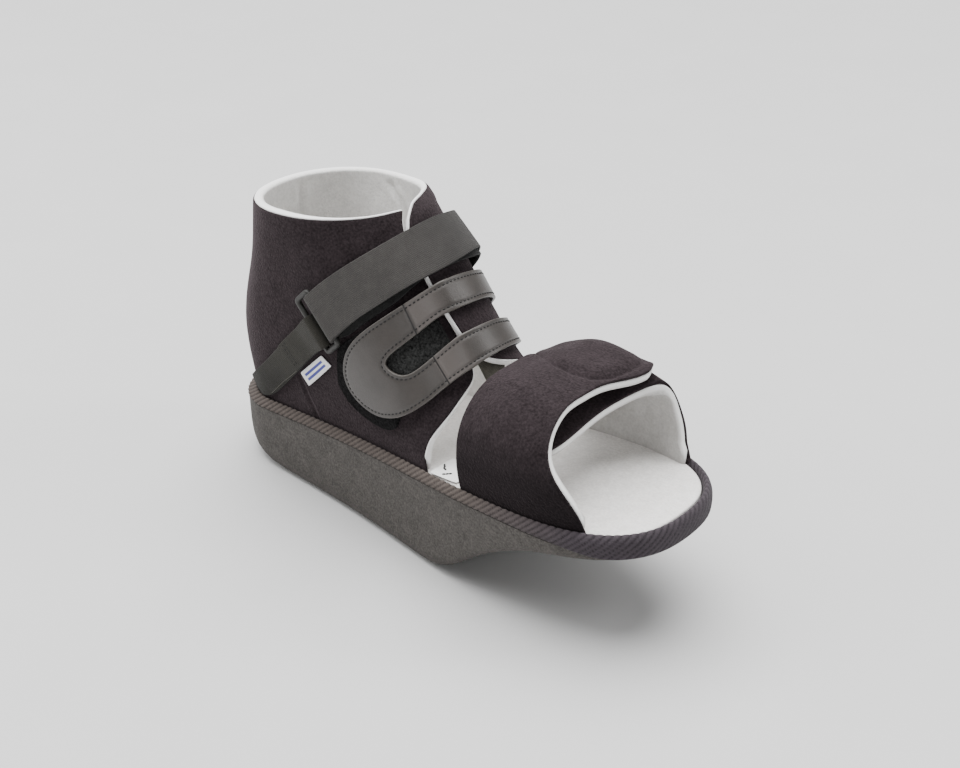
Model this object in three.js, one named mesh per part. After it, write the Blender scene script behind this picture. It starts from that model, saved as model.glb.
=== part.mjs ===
// Forefoot offloading shoe for walking after foot surgery, standing on its sole.
// Millimetres, +Z up, toe toward +X, the fastening side toward -Y, sole flat on the ground at z = 0.
import * as THREE from 'three';

// Footbed plan: heel radius, ball half width and the toe end of the line where the upper meets the sole
const FOOT_LENGTH = 275;
const HEEL_RADIUS = 34.5;
const BALL_HALF = 45.5;
const BALL_X = 212;
const WAIST_IN = 1.8;
const TOE_POWER = 2.53;
// Footbed height at the heel and its rise to the toe
const BED_HEEL_Z = 36.6;
const BED_RISE = 27 / 275;
const BED_THICK = 5;
const GAP = 0.3;

// Edge tape round the footbed
const BINDING_OUT = 4;
const BINDING_IN = 1.2;
const BINDING_LOW = 5.6;
const BINDING_TALL = 10.8;
const SOLE_TUCK = 3;
const BINDING_GROWS_FROM = 232;
const BINDING_GROWS_TO = 262;

// Sole wall and its rounded lower edge
const SOLE_OUT = 3.4;
const HEEL_EXTRA = 1.8;
const EDGE_ROUND = 5.5;
const HEEL_ROUND = 15;
// Underside of the sole, from the flat tread up the ramp to the toe plate
const UNDERSIDE = [
  { x: -10, z: 0 },
  { x: 160, z: 0 },
  { x: 166, z: 0.6 },
  { x: 172, z: 4.4 },
  { x: 178, z: 9.8 },
  { x: 189, z: 20.4 },
  { x: 199, z: 28.2 },
  { x: 210, z: 35.0 },
  { x: 223, z: 41.2 },
  { x: 238, z: 45.8 },
  { x: 254, z: 48.4 },
  { x: 282, z: 52.2 },
];

// Rear upper: skin and lining thickness, and the height of its rim over the footbed
const SKIN = 1.6;
const LINING = 4;
const PLY_GAP = 0.25;
const RIM_HEIGHT = 114.5;
const LAP_LIFT = 6.4;
// Level sections of the rear upper: height over the footbed, heel end, instep end,
// half width, and how far the rounded heel and instep ends reach
const REAR = [
  { h: 0, back: 0.7, front: 218, half: 35, heel: 34, nose: 60 },
  { h: 12, back: -2.2, front: 196, half: 36, heel: 36, nose: 58 },
  { h: 24, back: -3.0, front: 179, half: 37, heel: 37, nose: 56 },
  { h: 40, back: -2.4, front: 162, half: 38, heel: 38, nose: 55 },
  { h: 55, back: -0.4, front: 149, half: 38, heel: 38, nose: 54 },
  { h: 66, back: 2.6, front: 140, half: 38, heel: 37, nose: 53 },
  { h: 75, back: 6.4, front: 133, half: 38, heel: 36, nose: 52 },
  { h: 88, back: 9.2, front: 122.5, half: 38.2, heel: 38, nose: 50 },
  { h: 102, back: 10.2, front: 111, half: 38.7, heel: 42, nose: 48 },
  { h: 115, back: 11.6, front: 102, half: 39.2, heel: 44, nose: 46 },
];
const NOSE_POWER = 1.9;
const HEEL_POWER = 2.15;
const ROUND_POWER = 2;
const HEEL_TURN = 0.35;
const NOSE_TURN = 0.6;
// Front edges of the rear upper: height over the footbed and the wrap round the section,
// 0 at the heel seam, 1 at the instep ridge, more than 1 past the ridge on the other side
const NEAR_END = [
  { h: 0, wrap: 0.592 },
  { h: 10.7, wrap: 0.658 },
  { h: 17.3, wrap: 0.712 },
  { h: 26.4, wrap: 0.795 },
  { h: 34.3, wrap: 0.864 },
  { h: 40, wrap: 0.922 },
  { h: 48, wrap: 0.95 },
  { h: 90, wrap: 0.95 },
  { h: 104, wrap: 0.962 },
  { h: 115, wrap: 0.975 },
];
const FAR_END = [
  { h: 0, wrap: 0.592 },
  { h: 10.7, wrap: 0.658 },
  { h: 18.5, wrap: 0.712 },
  { h: 29, wrap: 0.805 },
  { h: 37, wrap: 0.9 },
  { h: 42, wrap: 0.985 },
  { h: 47, wrap: 1.05 },
  { h: 62, wrap: 1.067 },
  { h: 82, wrap: 1.072 },
  { h: 104, wrap: 1.05 },
  { h: 110, wrap: 1.03 },
  { h: 115, wrap: 0.96 },
];

// Forefoot upper: sections across the foot, with the height of the top over the footbed
// and how far the sides bulge over the sole edge
const FORE = [
  { x: 165, top: 50, bulge: 1.0 },
  { x: 178, top: 51.5, bulge: 1.4 },
  { x: 200, top: 55, bulge: 2.2 },
  { x: 214, top: 53, bulge: 2.8 },
  { x: 228, top: 50, bulge: 3.2 },
  { x: 250, top: 46, bulge: 3.2 },
];
const NEAR_CORNER = 26;
const FAR_CORNER = 19;
const UNDERLAP = 6.6;
const UNDERLAP_DIP = 3;

// Plain helpers

function clamp01(t) {
  return Math.min(1, Math.max(0, t));
}

function mix(a, b, t) {
  return a + (b - a) * t;
}

function smooth(from, to, x) {
  const t = clamp01((x - from) / (to - from));
  return t * t * (3 - 2 * t);
}

// Value of a named column at a place along a table, as a smooth curve through its rows
function column(table, key, name, at) {
  const last = table.length - 1;
  if (at <= table[0][key]) {
    return table[0][name];
  }
  if (at >= table[last][key]) {
    return table[last][name];
  }
  let i = 0;
  while (table[i + 1][key] < at) {
    i += 1;
  }
  const slopeAt = (k) => {
    if (k === 0 || k === last) {
      return 0;
    }
    const before = (table[k][name] - table[k - 1][name]) / (table[k][key] - table[k - 1][key]);
    const after = (table[k + 1][name] - table[k][name]) / (table[k + 1][key] - table[k][key]);
    if (before * after <= 0) {
      return 0;
    }
    return (2 * before * after) / (before + after);
  };
  const edgeSlope = (table[i + 1][name] - table[i][name]) / (table[i + 1][key] - table[i][key]);
  const m0 = i === 0 ? edgeSlope : slopeAt(i);
  const m1 = i + 1 === last ? edgeSlope : slopeAt(i + 1);
  const step = table[i + 1][key] - table[i][key];
  const t = (at - table[i][key]) / step;
  const a = table[i][name];
  const b = table[i + 1][name];
  return a * (1 - t) * (1 - t) * (1 + 2 * t) + b * t * t * (3 - 2 * t)
    + step * (m0 * t * (1 - t) * (1 - t) - m1 * t * t * (1 - t));
}

// Footbed plane and plan

function bedZ(x) {
  return BED_HEEL_Z + BED_RISE * x;
}

function sideHalf(x) {
  const t = clamp01((x - HEEL_RADIUS) / (BALL_X - HEEL_RADIUS));
  const waist = WAIST_IN * Math.sin(Math.PI * t) ** 2;
  return mix(HEEL_RADIUS, BALL_HALF, t * t * (3 - 2 * t)) - waist;
}

function planHalf(x) {
  if (x < HEEL_RADIUS) {
    return Math.sqrt(Math.max(0, HEEL_RADIUS ** 2 - (HEEL_RADIUS - x) ** 2));
  }
  if (x < BALL_X) {
    return sideHalf(x);
  }
  const t = clamp01((x - BALL_X) / (FOOT_LENGTH - BALL_X));
  return BALL_HALF * (1 - t ** TOE_POWER) ** (1 / TOE_POWER);
}

// Closed plan outline, heel first, down the near side to the toe and back along the far side
const PLAN_STEPS = 32;
function planOutline() {
  const near = [];
  for (let i = 0; i <= PLAN_STEPS; i += 1) {
    const x = FOOT_LENGTH * (1 - Math.cos(Math.PI * i / PLAN_STEPS)) / 2;
    near.push(new THREE.Vector2(x, -planHalf(x)));
  }
  const far = near.slice(1, -1).reverse().map((p) => new THREE.Vector2(p.x, -p.y));
  const points = near.concat(far);
  const count = points.length;
  return points.map((p, i) => {
    const before = points[(i + count - 1) % count];
    const after = points[(i + 1) % count];
    const along = after.clone().sub(before).normalize();
    return { x: p.x, y: p.y, nx: along.y, ny: -along.x };
  });
}
const PLAN = planOutline();

// Solid builders: each returns one closed body

function solid(points, faces) {
  let volume = 0;
  faces.forEach(([a, b, c]) => {
    volume += points[a].dot(points[b].clone().cross(points[c])) / 6;
  });
  const outward = volume > 0 ? faces : faces.map(([a, b, c]) => [a, c, b]);
  const geometry = new THREE.BufferGeometry();
  geometry.setFromPoints(points);
  geometry.setIndex(outward.flat());
  geometry.computeVertexNormals();
  return geometry;
}

function pushQuad(faces, a, b, c, d) {
  faces.push([a, b, c]);
  faces.push([a, c, d]);
}

// A stack of matching closed rings, capped across from side to side at both ends
function stackSolid(rings) {
  const count = rings[0].length;
  const points = rings.flat();
  const faces = [];
  for (let r = 0; r + 1 < rings.length; r += 1) {
    for (let i = 0; i < count; i += 1) {
      const j = (i + 1) % count;
      pushQuad(faces, r * count + i, r * count + j, (r + 1) * count + j, (r + 1) * count + i);
    }
  }
  const top = (rings.length - 1) * count;
  for (let i = 0; i < count / 2; i += 1) {
    const a = i;
    const b = i + 1;
    const c = count - i - 1;
    const d = (count - i) % count;
    if (i > 0) {
      faces.push([d, c, a]);
      faces.push([top + d, top + a, top + c]);
    }
    if (b !== c) {
      faces.push([c, b, a]);
      faces.push([top + c, top + a, top + b]);
    }
  }
  return solid(points, faces);
}

// A closed profile carried round a closed path
function hoopSolid(sections) {
  const count = sections[0].length;
  const points = sections.flat();
  const faces = [];
  sections.forEach((section, s) => {
    const next = (s + 1) % sections.length;
    for (let i = 0; i < count; i += 1) {
      const j = (i + 1) % count;
      pushQuad(faces, s * count + i, s * count + j, next * count + j, next * count + i);
    }
  });
  return solid(points, faces);
}

// A sheet with two faces, given as matching grids of points, closed round its four edges
function sheetSolid(outer, inner) {
  const rows = outer.length;
  const cols = outer[0].length;
  const points = outer.flat().concat(inner.flat());
  const under = rows * cols;
  const faces = [];
  for (let r = 0; r + 1 < rows; r += 1) {
    for (let c = 0; c + 1 < cols; c += 1) {
      const a = r * cols + c;
      const b = a + 1;
      const d = a + cols;
      const e = d + 1;
      pushQuad(faces, a, b, e, d);
      pushQuad(faces, under + a, under + d, under + e, under + b);
    }
  }
  const border = [];
  for (let c = 0; c + 1 < cols; c += 1) {
    border.push(c);
  }
  for (let r = 0; r + 1 < rows; r += 1) {
    border.push(r * cols + cols - 1);
  }
  for (let c = cols - 1; c > 0; c -= 1) {
    border.push((rows - 1) * cols + c);
  }
  for (let r = rows - 1; r > 0; r -= 1) {
    border.push(r * cols);
  }
  border.forEach((a, k) => {
    const b = border[(k + 1) % border.length];
    pushQuad(faces, a, under + a, under + b, b);
  });
  return solid(points, faces);
}

// Unit normals of a grid of points, from its neighbours
function gridNormals(grid) {
  const rows = grid.length;
  const cols = grid[0].length;
  return grid.map((row, r) => row.map((_, c) => {
    const left = row[Math.max(0, c - 1)];
    const right = row[Math.min(cols - 1, c + 1)];
    const low = grid[Math.max(0, r - 1)][c];
    const high = grid[Math.min(rows - 1, r + 1)][c];
    const across = right.clone().sub(left);
    const up = high.clone().sub(low);
    return across.cross(up).normalize();
  }));
}

function shiftGrid(grid, normals, distance) {
  return grid.map((row, r) => row.map((p, c) => p.clone().addScaledVector(normals[r][c], distance)));
}

// Rear upper form

function rearPoint(wrap, h) {
  let turn = wrap;
  if (turn > 1) {
    turn -= 2;
  }
  if (turn < -1) {
    turn += 2;
  }
  const sign = turn < 0 ? -1 : 1;
  const a = Math.abs(turn);
  const back = column(REAR, 'h', 'back', h);
  const front = column(REAR, 'h', 'front', h);
  const heel = column(REAR, 'h', 'heel', h);
  const nose = column(REAR, 'h', 'nose', h);
  const upperHalf = column(REAR, 'h', 'half', h);
  const heelPower = mix(ROUND_POWER, HEEL_POWER, smooth(0, 30, h));
  let x;
  let share = 1;
  if (a < HEEL_TURN) {
    const angle = (a / HEEL_TURN) * Math.PI / 2;
    x = back + heel * (1 - Math.cos(angle) ** (2 / heelPower));
    share = Math.sin(angle) ** (2 / heelPower);
  } else if (a < NOSE_TURN) {
    x = mix(back + heel, front - nose, (a - HEEL_TURN) / (NOSE_TURN - HEEL_TURN));
  } else {
    const angle = ((1 - a) / (1 - NOSE_TURN)) * Math.PI / 2;
    x = front - nose * (1 - Math.cos(angle) ** (2 / NOSE_POWER));
    share = Math.sin(angle) ** (2 / NOSE_POWER);
  }
  const half = mix(sideHalf(x) - 0.7, upperHalf, smooth(0, 50, h));
  return new THREE.Vector3(x, sign * half * share, bedZ(x) + h);
}

function rearNormal(wrap, h) {
  const d = 0.004;
  const across = rearPoint(wrap + d, h).sub(rearPoint(wrap - d, h));
  const up = rearPoint(wrap, Math.min(h + 0.5, RIM_HEIGHT + 0.5)).sub(rearPoint(wrap, Math.max(0, h - 0.5)));
  return up.cross(across).normalize();
}

// The far end of the rear upper lifts clear of the near end where it laps over it
function lapLift(wrap) {
  return LAP_LIFT * smooth(0.6, 0.88, wrap);
}

function onRear(wrap, h, lift) {
  return rearPoint(wrap, h).addScaledVector(rearNormal(wrap, h), lift);
}

// Places on the rear upper, row by row up from the sole, evenly spaced along each row
const REAR_COLS = 34;
const REAR_HEIGHTS = [0.6, 8, 15, 21, 27, 32, 36, 39.5, 43, 48, 58, 70, 82, 94, 104, 110, RIM_HEIGHT];
const FINE = 240;
function rearPlaces() {
  return REAR_HEIGHTS.map((h) => {
    const from = -column(NEAR_END, 'h', 'wrap', h);
    const to = column(FAR_END, 'h', 'wrap', h);
    const run = [0];
    for (let i = 1; i <= FINE; i += 1) {
      const a = rearPoint(mix(from, to, (i - 1) / FINE), h);
      run.push(run[i - 1] + a.distanceTo(rearPoint(mix(from, to, i / FINE), h)));
    }
    const row = [];
    let i = 0;
    for (let c = 0; c <= REAR_COLS; c += 1) {
      const goal = run[FINE] * c / REAR_COLS;
      while (i + 1 < FINE && run[i + 1] < goal) {
        i += 1;
      }
      const part = clamp01((goal - run[i]) / (run[i + 1] - run[i]));
      row.push({ wrap: mix(from, to, (i + part) / FINE), h });
    }
    return row;
  });
}

// Forefoot upper form: across runs from -1 at the near edge of the sole over the top to 1 at the far edge

function forePoint(across, x) {
  const sign = across < 0 ? -1 : 1;
  const corner = across < 0 ? NEAR_CORNER : FAR_CORNER;
  const top = column(FORE, 'x', 'top', x);
  const half = planHalf(x) - 0.7;
  const side = top - corner;
  const turn = corner * Math.PI / 2;
  const flat = half - corner;
  const along = (1 - Math.abs(across)) * (side + turn + flat);
  let y = half;
  let h = along;
  if (along > side + turn) {
    y = half - corner - (along - side - turn);
    h = top;
  } else if (along > side) {
    const angle = (along - side) / corner;
    y = half - corner * (1 - Math.cos(angle));
    h = side + corner * Math.sin(angle);
  }
  const bulge = column(FORE, 'x', 'bulge', x) * Math.sin(Math.PI * Math.min(1, h / top));
  return new THREE.Vector3(x, sign * (y + bulge), bedZ(x) + GAP + h);
}

// Front and back edges of the two forefoot flaps along their girth
const NEAR_FLAP = [
  { across: -1, back: 175, front: 250 },
  { across: -0.84, back: 176, front: 245 },
  { across: -0.7, back: 176.5, front: 237 },
  { across: -0.59, back: 177, front: 230.5 },
  { across: -0.5, back: 177, front: 227.5 },
  { across: -0.37, back: 177, front: 225 },
  { across: -0.2, back: 176.5, front: 223.5 },
  { across: 0, back: 176, front: 224 },
  { across: 0.23, back: 176, front: 231 },
  { across: 0.34, back: 178, front: 233 },
  { across: 0.4, back: 181, front: 231.5 },
  { across: 0.44, back: 188, front: 226 },
];
const FAR_FLAP = [
  { across: -0.45, back: 186, front: 216 },
  { across: -0.34, back: 181, front: 221 },
  { across: -0.2, back: 180, front: 223 },
  { across: 0, back: 179, front: 224 },
  { across: 0.2, back: 179, front: 227 },
  { across: 0.33, back: 179, front: 232 },
  { across: 0.45, back: 178, front: 238 },
  { across: 0.6, back: 177, front: 241.5 },
  { across: 0.75, back: 176, front: 244 },
  { across: 1, back: 175, front: 250 },
];
function onFore(across, x, lift) {
  const d = 0.01;
  const over = forePoint(Math.min(1, across + d), x).sub(forePoint(Math.max(-1, across - d), x));
  const along = forePoint(across, x + 0.5).sub(forePoint(across, x - 0.5));
  return forePoint(across, x).addScaledVector(along.cross(over).normalize(), lift);
}

const FLAP_ROWS = 20;
const FLAP_COLS = 6;
function flapLayer(table, liftAt) {
  const rows = [];
  const first = table[0].across;
  const last = table[table.length - 1].across;
  for (let r = 0; r <= FLAP_ROWS; r += 1) {
    const across = mix(first, last, r / FLAP_ROWS);
    const back = column(table, 'across', 'back', across);
    const front = column(table, 'across', 'front', across);
    const row = [];
    for (let c = 0; c <= FLAP_COLS; c += 1) {
      row.push(onFore(across, mix(back, front, c / FLAP_COLS), liftAt(across)));
    }
    rows.push(row);
  }
  return rows;
}

// Materials

function finish(color, roughness, metalness) {
  return new THREE.MeshStandardMaterial({ color, roughness, metalness });
}
const FELT = finish(0x3a3640, 0.95, 0);
const PALE = finish(0xc9c8c6, 0.95, 0);
const TAPE = finish(0x5d5855, 0.85, 0);
const FOAM = finish(0x77766f, 0.9, 0);

const root = new THREE.Group();
root.name = 'forefoot_offloading_shoe';
root.position.x = -(FOOT_LENGTH - HEEL_EXTRA) / 2;

function add(name, geometry, material) {
  const mesh = new THREE.Mesh(geometry, material);
  mesh.name = name;
  root.add(mesh);
}

// Sole block

function bindingHeight(x) {
  return mix(BINDING_LOW, BINDING_TALL, smooth(BINDING_GROWS_FROM, BINDING_GROWS_TO, x));
}

function soleOut(p) {
  const heel = HEEL_EXTRA * smooth(40, 0, p.x);
  const tuck = SOLE_TUCK * smooth(BINDING_GROWS_FROM, BINDING_GROWS_TO, p.x);
  return SOLE_OUT + heel - tuck;
}

// Ring on the rounded lower edge, at an angle from 90 degrees under the sole to 0 on its wall
function soleEdgeRing(degrees) {
  const angle = THREE.MathUtils.degToRad(degrees);
  return PLAN.map((p) => {
    const wall = bedZ(p.x) - bindingHeight(p.x) - GAP - column(UNDERSIDE, 'x', 'z', p.x);
    const round = Math.min(mix(HEEL_ROUND, EDGE_ROUND, smooth(0, 45, p.x)), 0.5 * wall);
    const shift = soleOut(p) - round * (1 - Math.cos(angle));
    const x = p.x + p.nx * shift;
    const z = column(UNDERSIDE, 'x', 'z', x) + round * (1 - Math.sin(angle));
    return new THREE.Vector3(x, p.y + p.ny * shift, z);
  });
}

// Ring on the upper side of the sole, where the footbed and its tape sit
function soleTopRing(outAt, dropAt) {
  return PLAN.map((p) => {
    const x = p.x + p.nx * outAt(p);
    return new THREE.Vector3(x, p.y + p.ny * outAt(p), bedZ(x) - dropAt(p.x));
  });
}

function soleSolid() {
  const rings = [90, 60, 30, 0].map(soleEdgeRing);
  const underTape = (x) => bindingHeight(x) + GAP;
  const inside = () => -BINDING_IN - GAP;
  rings.push(soleTopRing(soleOut, underTape));
  rings.push(soleTopRing(inside, underTape));
  rings.push(soleTopRing(inside, () => BED_THICK + GAP));
  return stackSolid(rings);
}
add('sole', soleSolid(), FOAM);

// Footbed board with its pale cover

function bedRing(inset, drop) {
  return PLAN.map((p) => {
    const x = p.x - p.nx * inset;
    return new THREE.Vector3(x, p.y - p.ny * inset, bedZ(x) - drop);
  });
}
const BED_INSET = BINDING_IN + GAP;
const BED_CHAMFER = 0.8;
function bedSolid() {
  return stackSolid([
    bedRing(BED_INSET, BED_THICK),
    bedRing(BED_INSET, BED_CHAMFER),
    bedRing(BED_INSET + BED_CHAMFER, 0),
  ]);
}
add('insole', bedSolid(), PALE);

// Edge tape

function bindingSolid() {
  const sections = PLAN.map((p) => {
    const tall = bindingHeight(p.x);
    const heel = HEEL_EXTRA * smooth(40, 0, p.x);
    const profile = [
      { out: -BINDING_IN, drop: 0.7 },
      { out: -0.25, drop: -0.1 },
      { out: 0.1, drop: -1.2 },
      { out: 1.2, drop: -1.2 },
      { out: 3, drop: 0.6 },
      { out: BINDING_OUT + heel, drop: 0.45 * tall },
      { out: BINDING_OUT + heel - 0.3, drop: tall },
      { out: -BINDING_IN, drop: tall },
    ];
    return profile.map(({ out, drop }) => {
      const x = p.x + p.nx * out;
      return new THREE.Vector3(x, p.y + p.ny * out, bedZ(x) - drop);
    });
  });
  return hoopSolid(sections);
}
add('sole_binding', bindingSolid(), TAPE);

// Rear upper

const PLACES = rearPlaces();
function rearLayer(depth) {
  return PLACES.map((row) => row.map(({ wrap, h }) => onRear(wrap, h, lapLift(wrap) - depth)));
}
add('rear_upper', sheetSolid(rearLayer(0), rearLayer(SKIN)), FELT);
add('rear_lining', sheetSolid(rearLayer(SKIN + PLY_GAP), rearLayer(SKIN + LINING)), PALE);

// Forefoot flaps

function underlap(across) {
  return UNDERLAP * smooth(0.85, 0.5, across) + UNDERLAP_DIP * smooth(0.2, -0.4, across);
}
function nearLayer(depth) {
  return flapLayer(NEAR_FLAP, () => -depth);
}
function farLayer(depth) {
  return flapLayer(FAR_FLAP, (across) => -underlap(across) - depth);
}
add('toe_near_outer', sheetSolid(nearLayer(0), nearLayer(SKIN)), FELT);
add('toe_near_lining', sheetSolid(nearLayer(SKIN + PLY_GAP), nearLayer(SKIN + LINING)), PALE);
add('toe_far_outer', sheetSolid(farLayer(0), farLayer(SKIN)), FELT);
add('toe_far_lining', sheetSolid(farLayer(SKIN + PLY_GAP), farLayer(SKIN + LINING)), PALE);

// Bands laid on the rear upper

// Rows of points across a band, smoothed along its length, then given a thickness
function bandSolid(stations, steps, thick) {
  const curves = stations[0].map((_, c) => {
    const along = stations.map((row) => row[c]);
    return new THREE.CatmullRomCurve3(along, false, 'centripetal');
  });
  const rows = [];
  const count = (stations.length - 1) * steps;
  for (let i = 0; i <= count; i += 1) {
    rows.push(curves.map((curve) => curve.getPoint(i / count)));
  }
  const normals = gridNormals(rows);
  return sheetSolid(shiftGrid(rows, normals, thick / 2), shiftGrid(rows, normals, -thick / 2));
}

// Points across a band from its upper edge to its lower edge on the near side
function acrossBand(up, low, count) {
  const row = [];
  for (let i = 0; i <= count; i += 1) {
    const t = i / count;
    row.push(onRear(-mix(up.wrap, low.wrap, t), mix(up.h, low.h, t), mix(up.lift, low.lift, t)));
  }
  return row;
}

// Wrap of a place on the side of the rear upper, from its distance along the shoe
function wrapAt(x, h) {
  let low = 0;
  let high = 1;
  for (let i = 0; i < 40; i += 1) {
    const mid = (low + high) / 2;
    if (rearPoint(-mid, h).x < x) {
      low = mid;
    } else {
      high = mid;
    }
  }
  return (low + high) / 2;
}

// Plastic ring: a flat loop with rounded bars, lying on the near side
const RING_X = 83.5;
const RING_H = 63.5;
const RING_LIFT = 4;
const RING_LONG = 33;
const RING_SHORT = 13.5;
const RING_BAR = 3;
const RING_THICK = 2.9;
const RING_BEVEL = 0.8;
const RING_TILT = 45;

// Frame on the near side of the ring: b along the strap, a across it, n outward
function ringFrame() {
  const wrap = -wrapAt(RING_X, RING_H);
  const n = rearNormal(wrap, RING_H);
  const tilt = THREE.MathUtils.degToRad(RING_TILT);
  const a = new THREE.Vector3(Math.cos(tilt), 0, -Math.sin(tilt));
  a.addScaledVector(n, -a.dot(n)).normalize();
  const b = n.clone().cross(a).normalize();
  return { centre: rearPoint(wrap, RING_H), a, b, n };
}
const RING = ringFrame();

function onRing(a, b, lift) {
  const point = RING.centre.clone();
  point.addScaledVector(RING.a, a);
  point.addScaledVector(RING.b, b);
  return point.addScaledVector(RING.n, lift);
}

function roundedBox(path, halfX, halfY, radius) {
  path.moveTo(-halfX + radius, -halfY);
  path.lineTo(halfX - radius, -halfY);
  path.absarc(halfX - radius, -halfY + radius, radius, -Math.PI / 2, 0);
  path.lineTo(halfX, halfY - radius);
  path.absarc(halfX - radius, halfY - radius, radius, 0, Math.PI / 2);
  path.lineTo(-halfX + radius, halfY);
  path.absarc(-halfX + radius, halfY - radius, radius, Math.PI / 2, Math.PI);
  path.lineTo(-halfX, -halfY + radius);
  path.absarc(-halfX + radius, -halfY + radius, radius, Math.PI, Math.PI * 1.5);
  return path;
}

function ringSolid() {
  const grow = RING_BEVEL;
  const shape = roundedBox(new THREE.Shape(), RING_LONG / 2 - grow, RING_SHORT / 2 - grow, 2);
  const holeX = RING_LONG / 2 - RING_BAR + grow;
  const holeY = RING_SHORT / 2 - RING_BAR + grow;
  shape.holes.push(roundedBox(new THREE.Path(), holeX, holeY, 1.5));
  const geometry = new THREE.ExtrudeGeometry(shape, {
    depth: RING_THICK - 2 * RING_BEVEL,
    bevelEnabled: true,
    bevelThickness: RING_BEVEL,
    bevelSize: RING_BEVEL,
    bevelSegments: 1,
    curveSegments: 2,
  });
  geometry.translate(0, 0, -RING_THICK / 2 + RING_BEVEL);
  const frame = new THREE.Matrix4().makeBasis(RING.a, RING.b, RING.n);
  frame.setPosition(onRing(0, 0, RING_LIFT));
  geometry.applyMatrix4(frame);
  return geometry;
}
add('strap_ring', ringSolid(), finish(0x45443f, 0.45, 0));

// Rows of a band that turns round one bar of the ring, from over the bar to under it
const FOLD_RADIUS = 2.75;
function foldRows(width, shift, side, count) {
  const bar = side * (RING_SHORT - RING_BAR) / 2;
  return [0, 45, 90, 135, 180].map((degrees) => {
    const angle = THREE.MathUtils.degToRad(degrees);
    const b = bar - side * FOLD_RADIUS * Math.sin(angle);
    const lift = RING_LIFT + FOLD_RADIUS * Math.cos(angle);
    const row = [];
    for (let i = 0; i <= count; i += 1) {
      row.push(onRing(shift + mix(-width / 2, width / 2, i / count), b, lift));
    }
    return row;
  });
}

// Ankle strap: stations from the ring over the instep to the sole edge on the far side,
// with the wrap and height of both edges and how far the under layer stands off the rear upper
const STRAP_WIDTH = 26;
const STRAP_THICK = 1.5;
const STRAP_PLY = 1.9;
const STRAP = [
  { upWrap: 0.655, upH: 84.5, lowWrap: 0.65, lowH: 60, upLift: 1.4, lowLift: 1.4 },
  { upWrap: 0.76, upH: 94, lowWrap: 0.745, lowH: 69.5, upLift: 1.5, lowLift: 1.5 },
  { upWrap: 0.86, upH: 100.5, lowWrap: 0.835, lowH: 77.8, upLift: 3.8, lowLift: 3.8 },
  { upWrap: 0.95, upH: 104.3, lowWrap: 0.92, lowH: 82.8, upLift: 7.7, lowLift: 7.7 },
  { upWrap: 1.03, upH: 105.2, lowWrap: 1.02, lowH: 84.8, upLift: 7.8, lowLift: 9.8 },
  { upWrap: 1.11, upH: 103, lowWrap: 1.11, lowH: 84.3, upLift: 8.2, lowLift: 11.2 },
  { upWrap: 1.2, upH: 98.5, lowWrap: 1.2, lowH: 80, upLift: 8.2, lowLift: 11.2 },
  { upWrap: 1.3, upH: 89, lowWrap: 1.3, lowH: 68, upLift: 5.6, lowLift: 7 },
  { upWrap: 1.36, upH: 82.5, lowWrap: 1.365, lowH: 60, upLift: 3.6, lowLift: 4 },
  { upWrap: 1.43, upH: 75, lowWrap: 1.44, lowH: 51, upLift: 1.9, lowLift: 1.9 },
  { upWrap: 1.52, upH: 59, lowWrap: 1.53, lowH: 36, upLift: 1.2, lowLift: 1.2 },
  { upWrap: 1.6, upH: 43, lowWrap: 1.6, lowH: 20, upLift: 1.2, lowLift: 1.2 },
  { upWrap: 1.67, upH: 25, lowWrap: 1.66, lowH: 3, upLift: 1.2, lowLift: 1.2 },
];
const STRAP_TIP = 8;
const STRAP_COLS = 2;

function strapRow(station, ply) {
  const up = { wrap: station.upWrap, h: station.upH, lift: station.upLift + ply };
  const low = { wrap: station.lowWrap, h: station.lowH, lift: station.lowLift + ply };
  return acrossBand(up, low, STRAP_COLS);
}

function strapSolid() {
  const over = STRAP.slice(0, STRAP_TIP + 1).map((station) => strapRow(station, STRAP_PLY)).reverse();
  const under = STRAP.map((station) => strapRow(station, 0));
  const fold = foldRows(STRAP_WIDTH, 0, 1, STRAP_COLS);
  return bandSolid([...over, ...fold, ...under], 2, STRAP_THICK);
}
add('ankle_strap', strapSolid(), finish(0x5f5d5a, 0.9, 0));

// Heel tab: webbing from the sole edge up to the ring, folded round the rear bar and sewn down
const TAB_WIDTH = 18;
const TAB_SHIFT = 3.6;
const TAB_THICK = 1.4;
const TAB_PLY = 1.8;
const TAB_LIFT = 1.15;
const TAB = [
  { upX: 66, upH: 55.5, lowX: 78.5, lowH: 44 },
  { upX: 58, upH: 48.2, lowX: 70.5, lowH: 36.5 },
  { upX: 50.3, upH: 41, lowX: 62.5, lowH: 29 },
  { upX: 36, upH: 27.5, lowX: 48, lowH: 15 },
  { upX: 24, upH: 17, lowX: 36.5, lowH: 5 },
  { upX: 14, upH: 9, lowX: 27, lowH: 1.6 },
];
const TAB_TIP = 2;
const TAB_COLS = 2;

function tabRow(station, ply) {
  const up = { wrap: wrapAt(station.upX, station.upH), h: station.upH, lift: TAB_LIFT + ply };
  const low = { wrap: wrapAt(station.lowX, station.lowH), h: station.lowH, lift: TAB_LIFT + ply };
  return acrossBand(up, low, TAB_COLS);
}

function tabSolid() {
  const over = TAB.slice(0, TAB_TIP + 1).map((station) => tabRow(station, TAB_PLY)).reverse();
  const under = TAB.map((station) => tabRow(station, 0));
  return bandSolid([...over, ...foldRows(TAB_WIDTH, TAB_SHIFT, -1, TAB_COLS), ...under], 2, TAB_THICK);
}
add('heel_tab', tabSolid(), finish(0x56544a, 0.9, 0));

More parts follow.
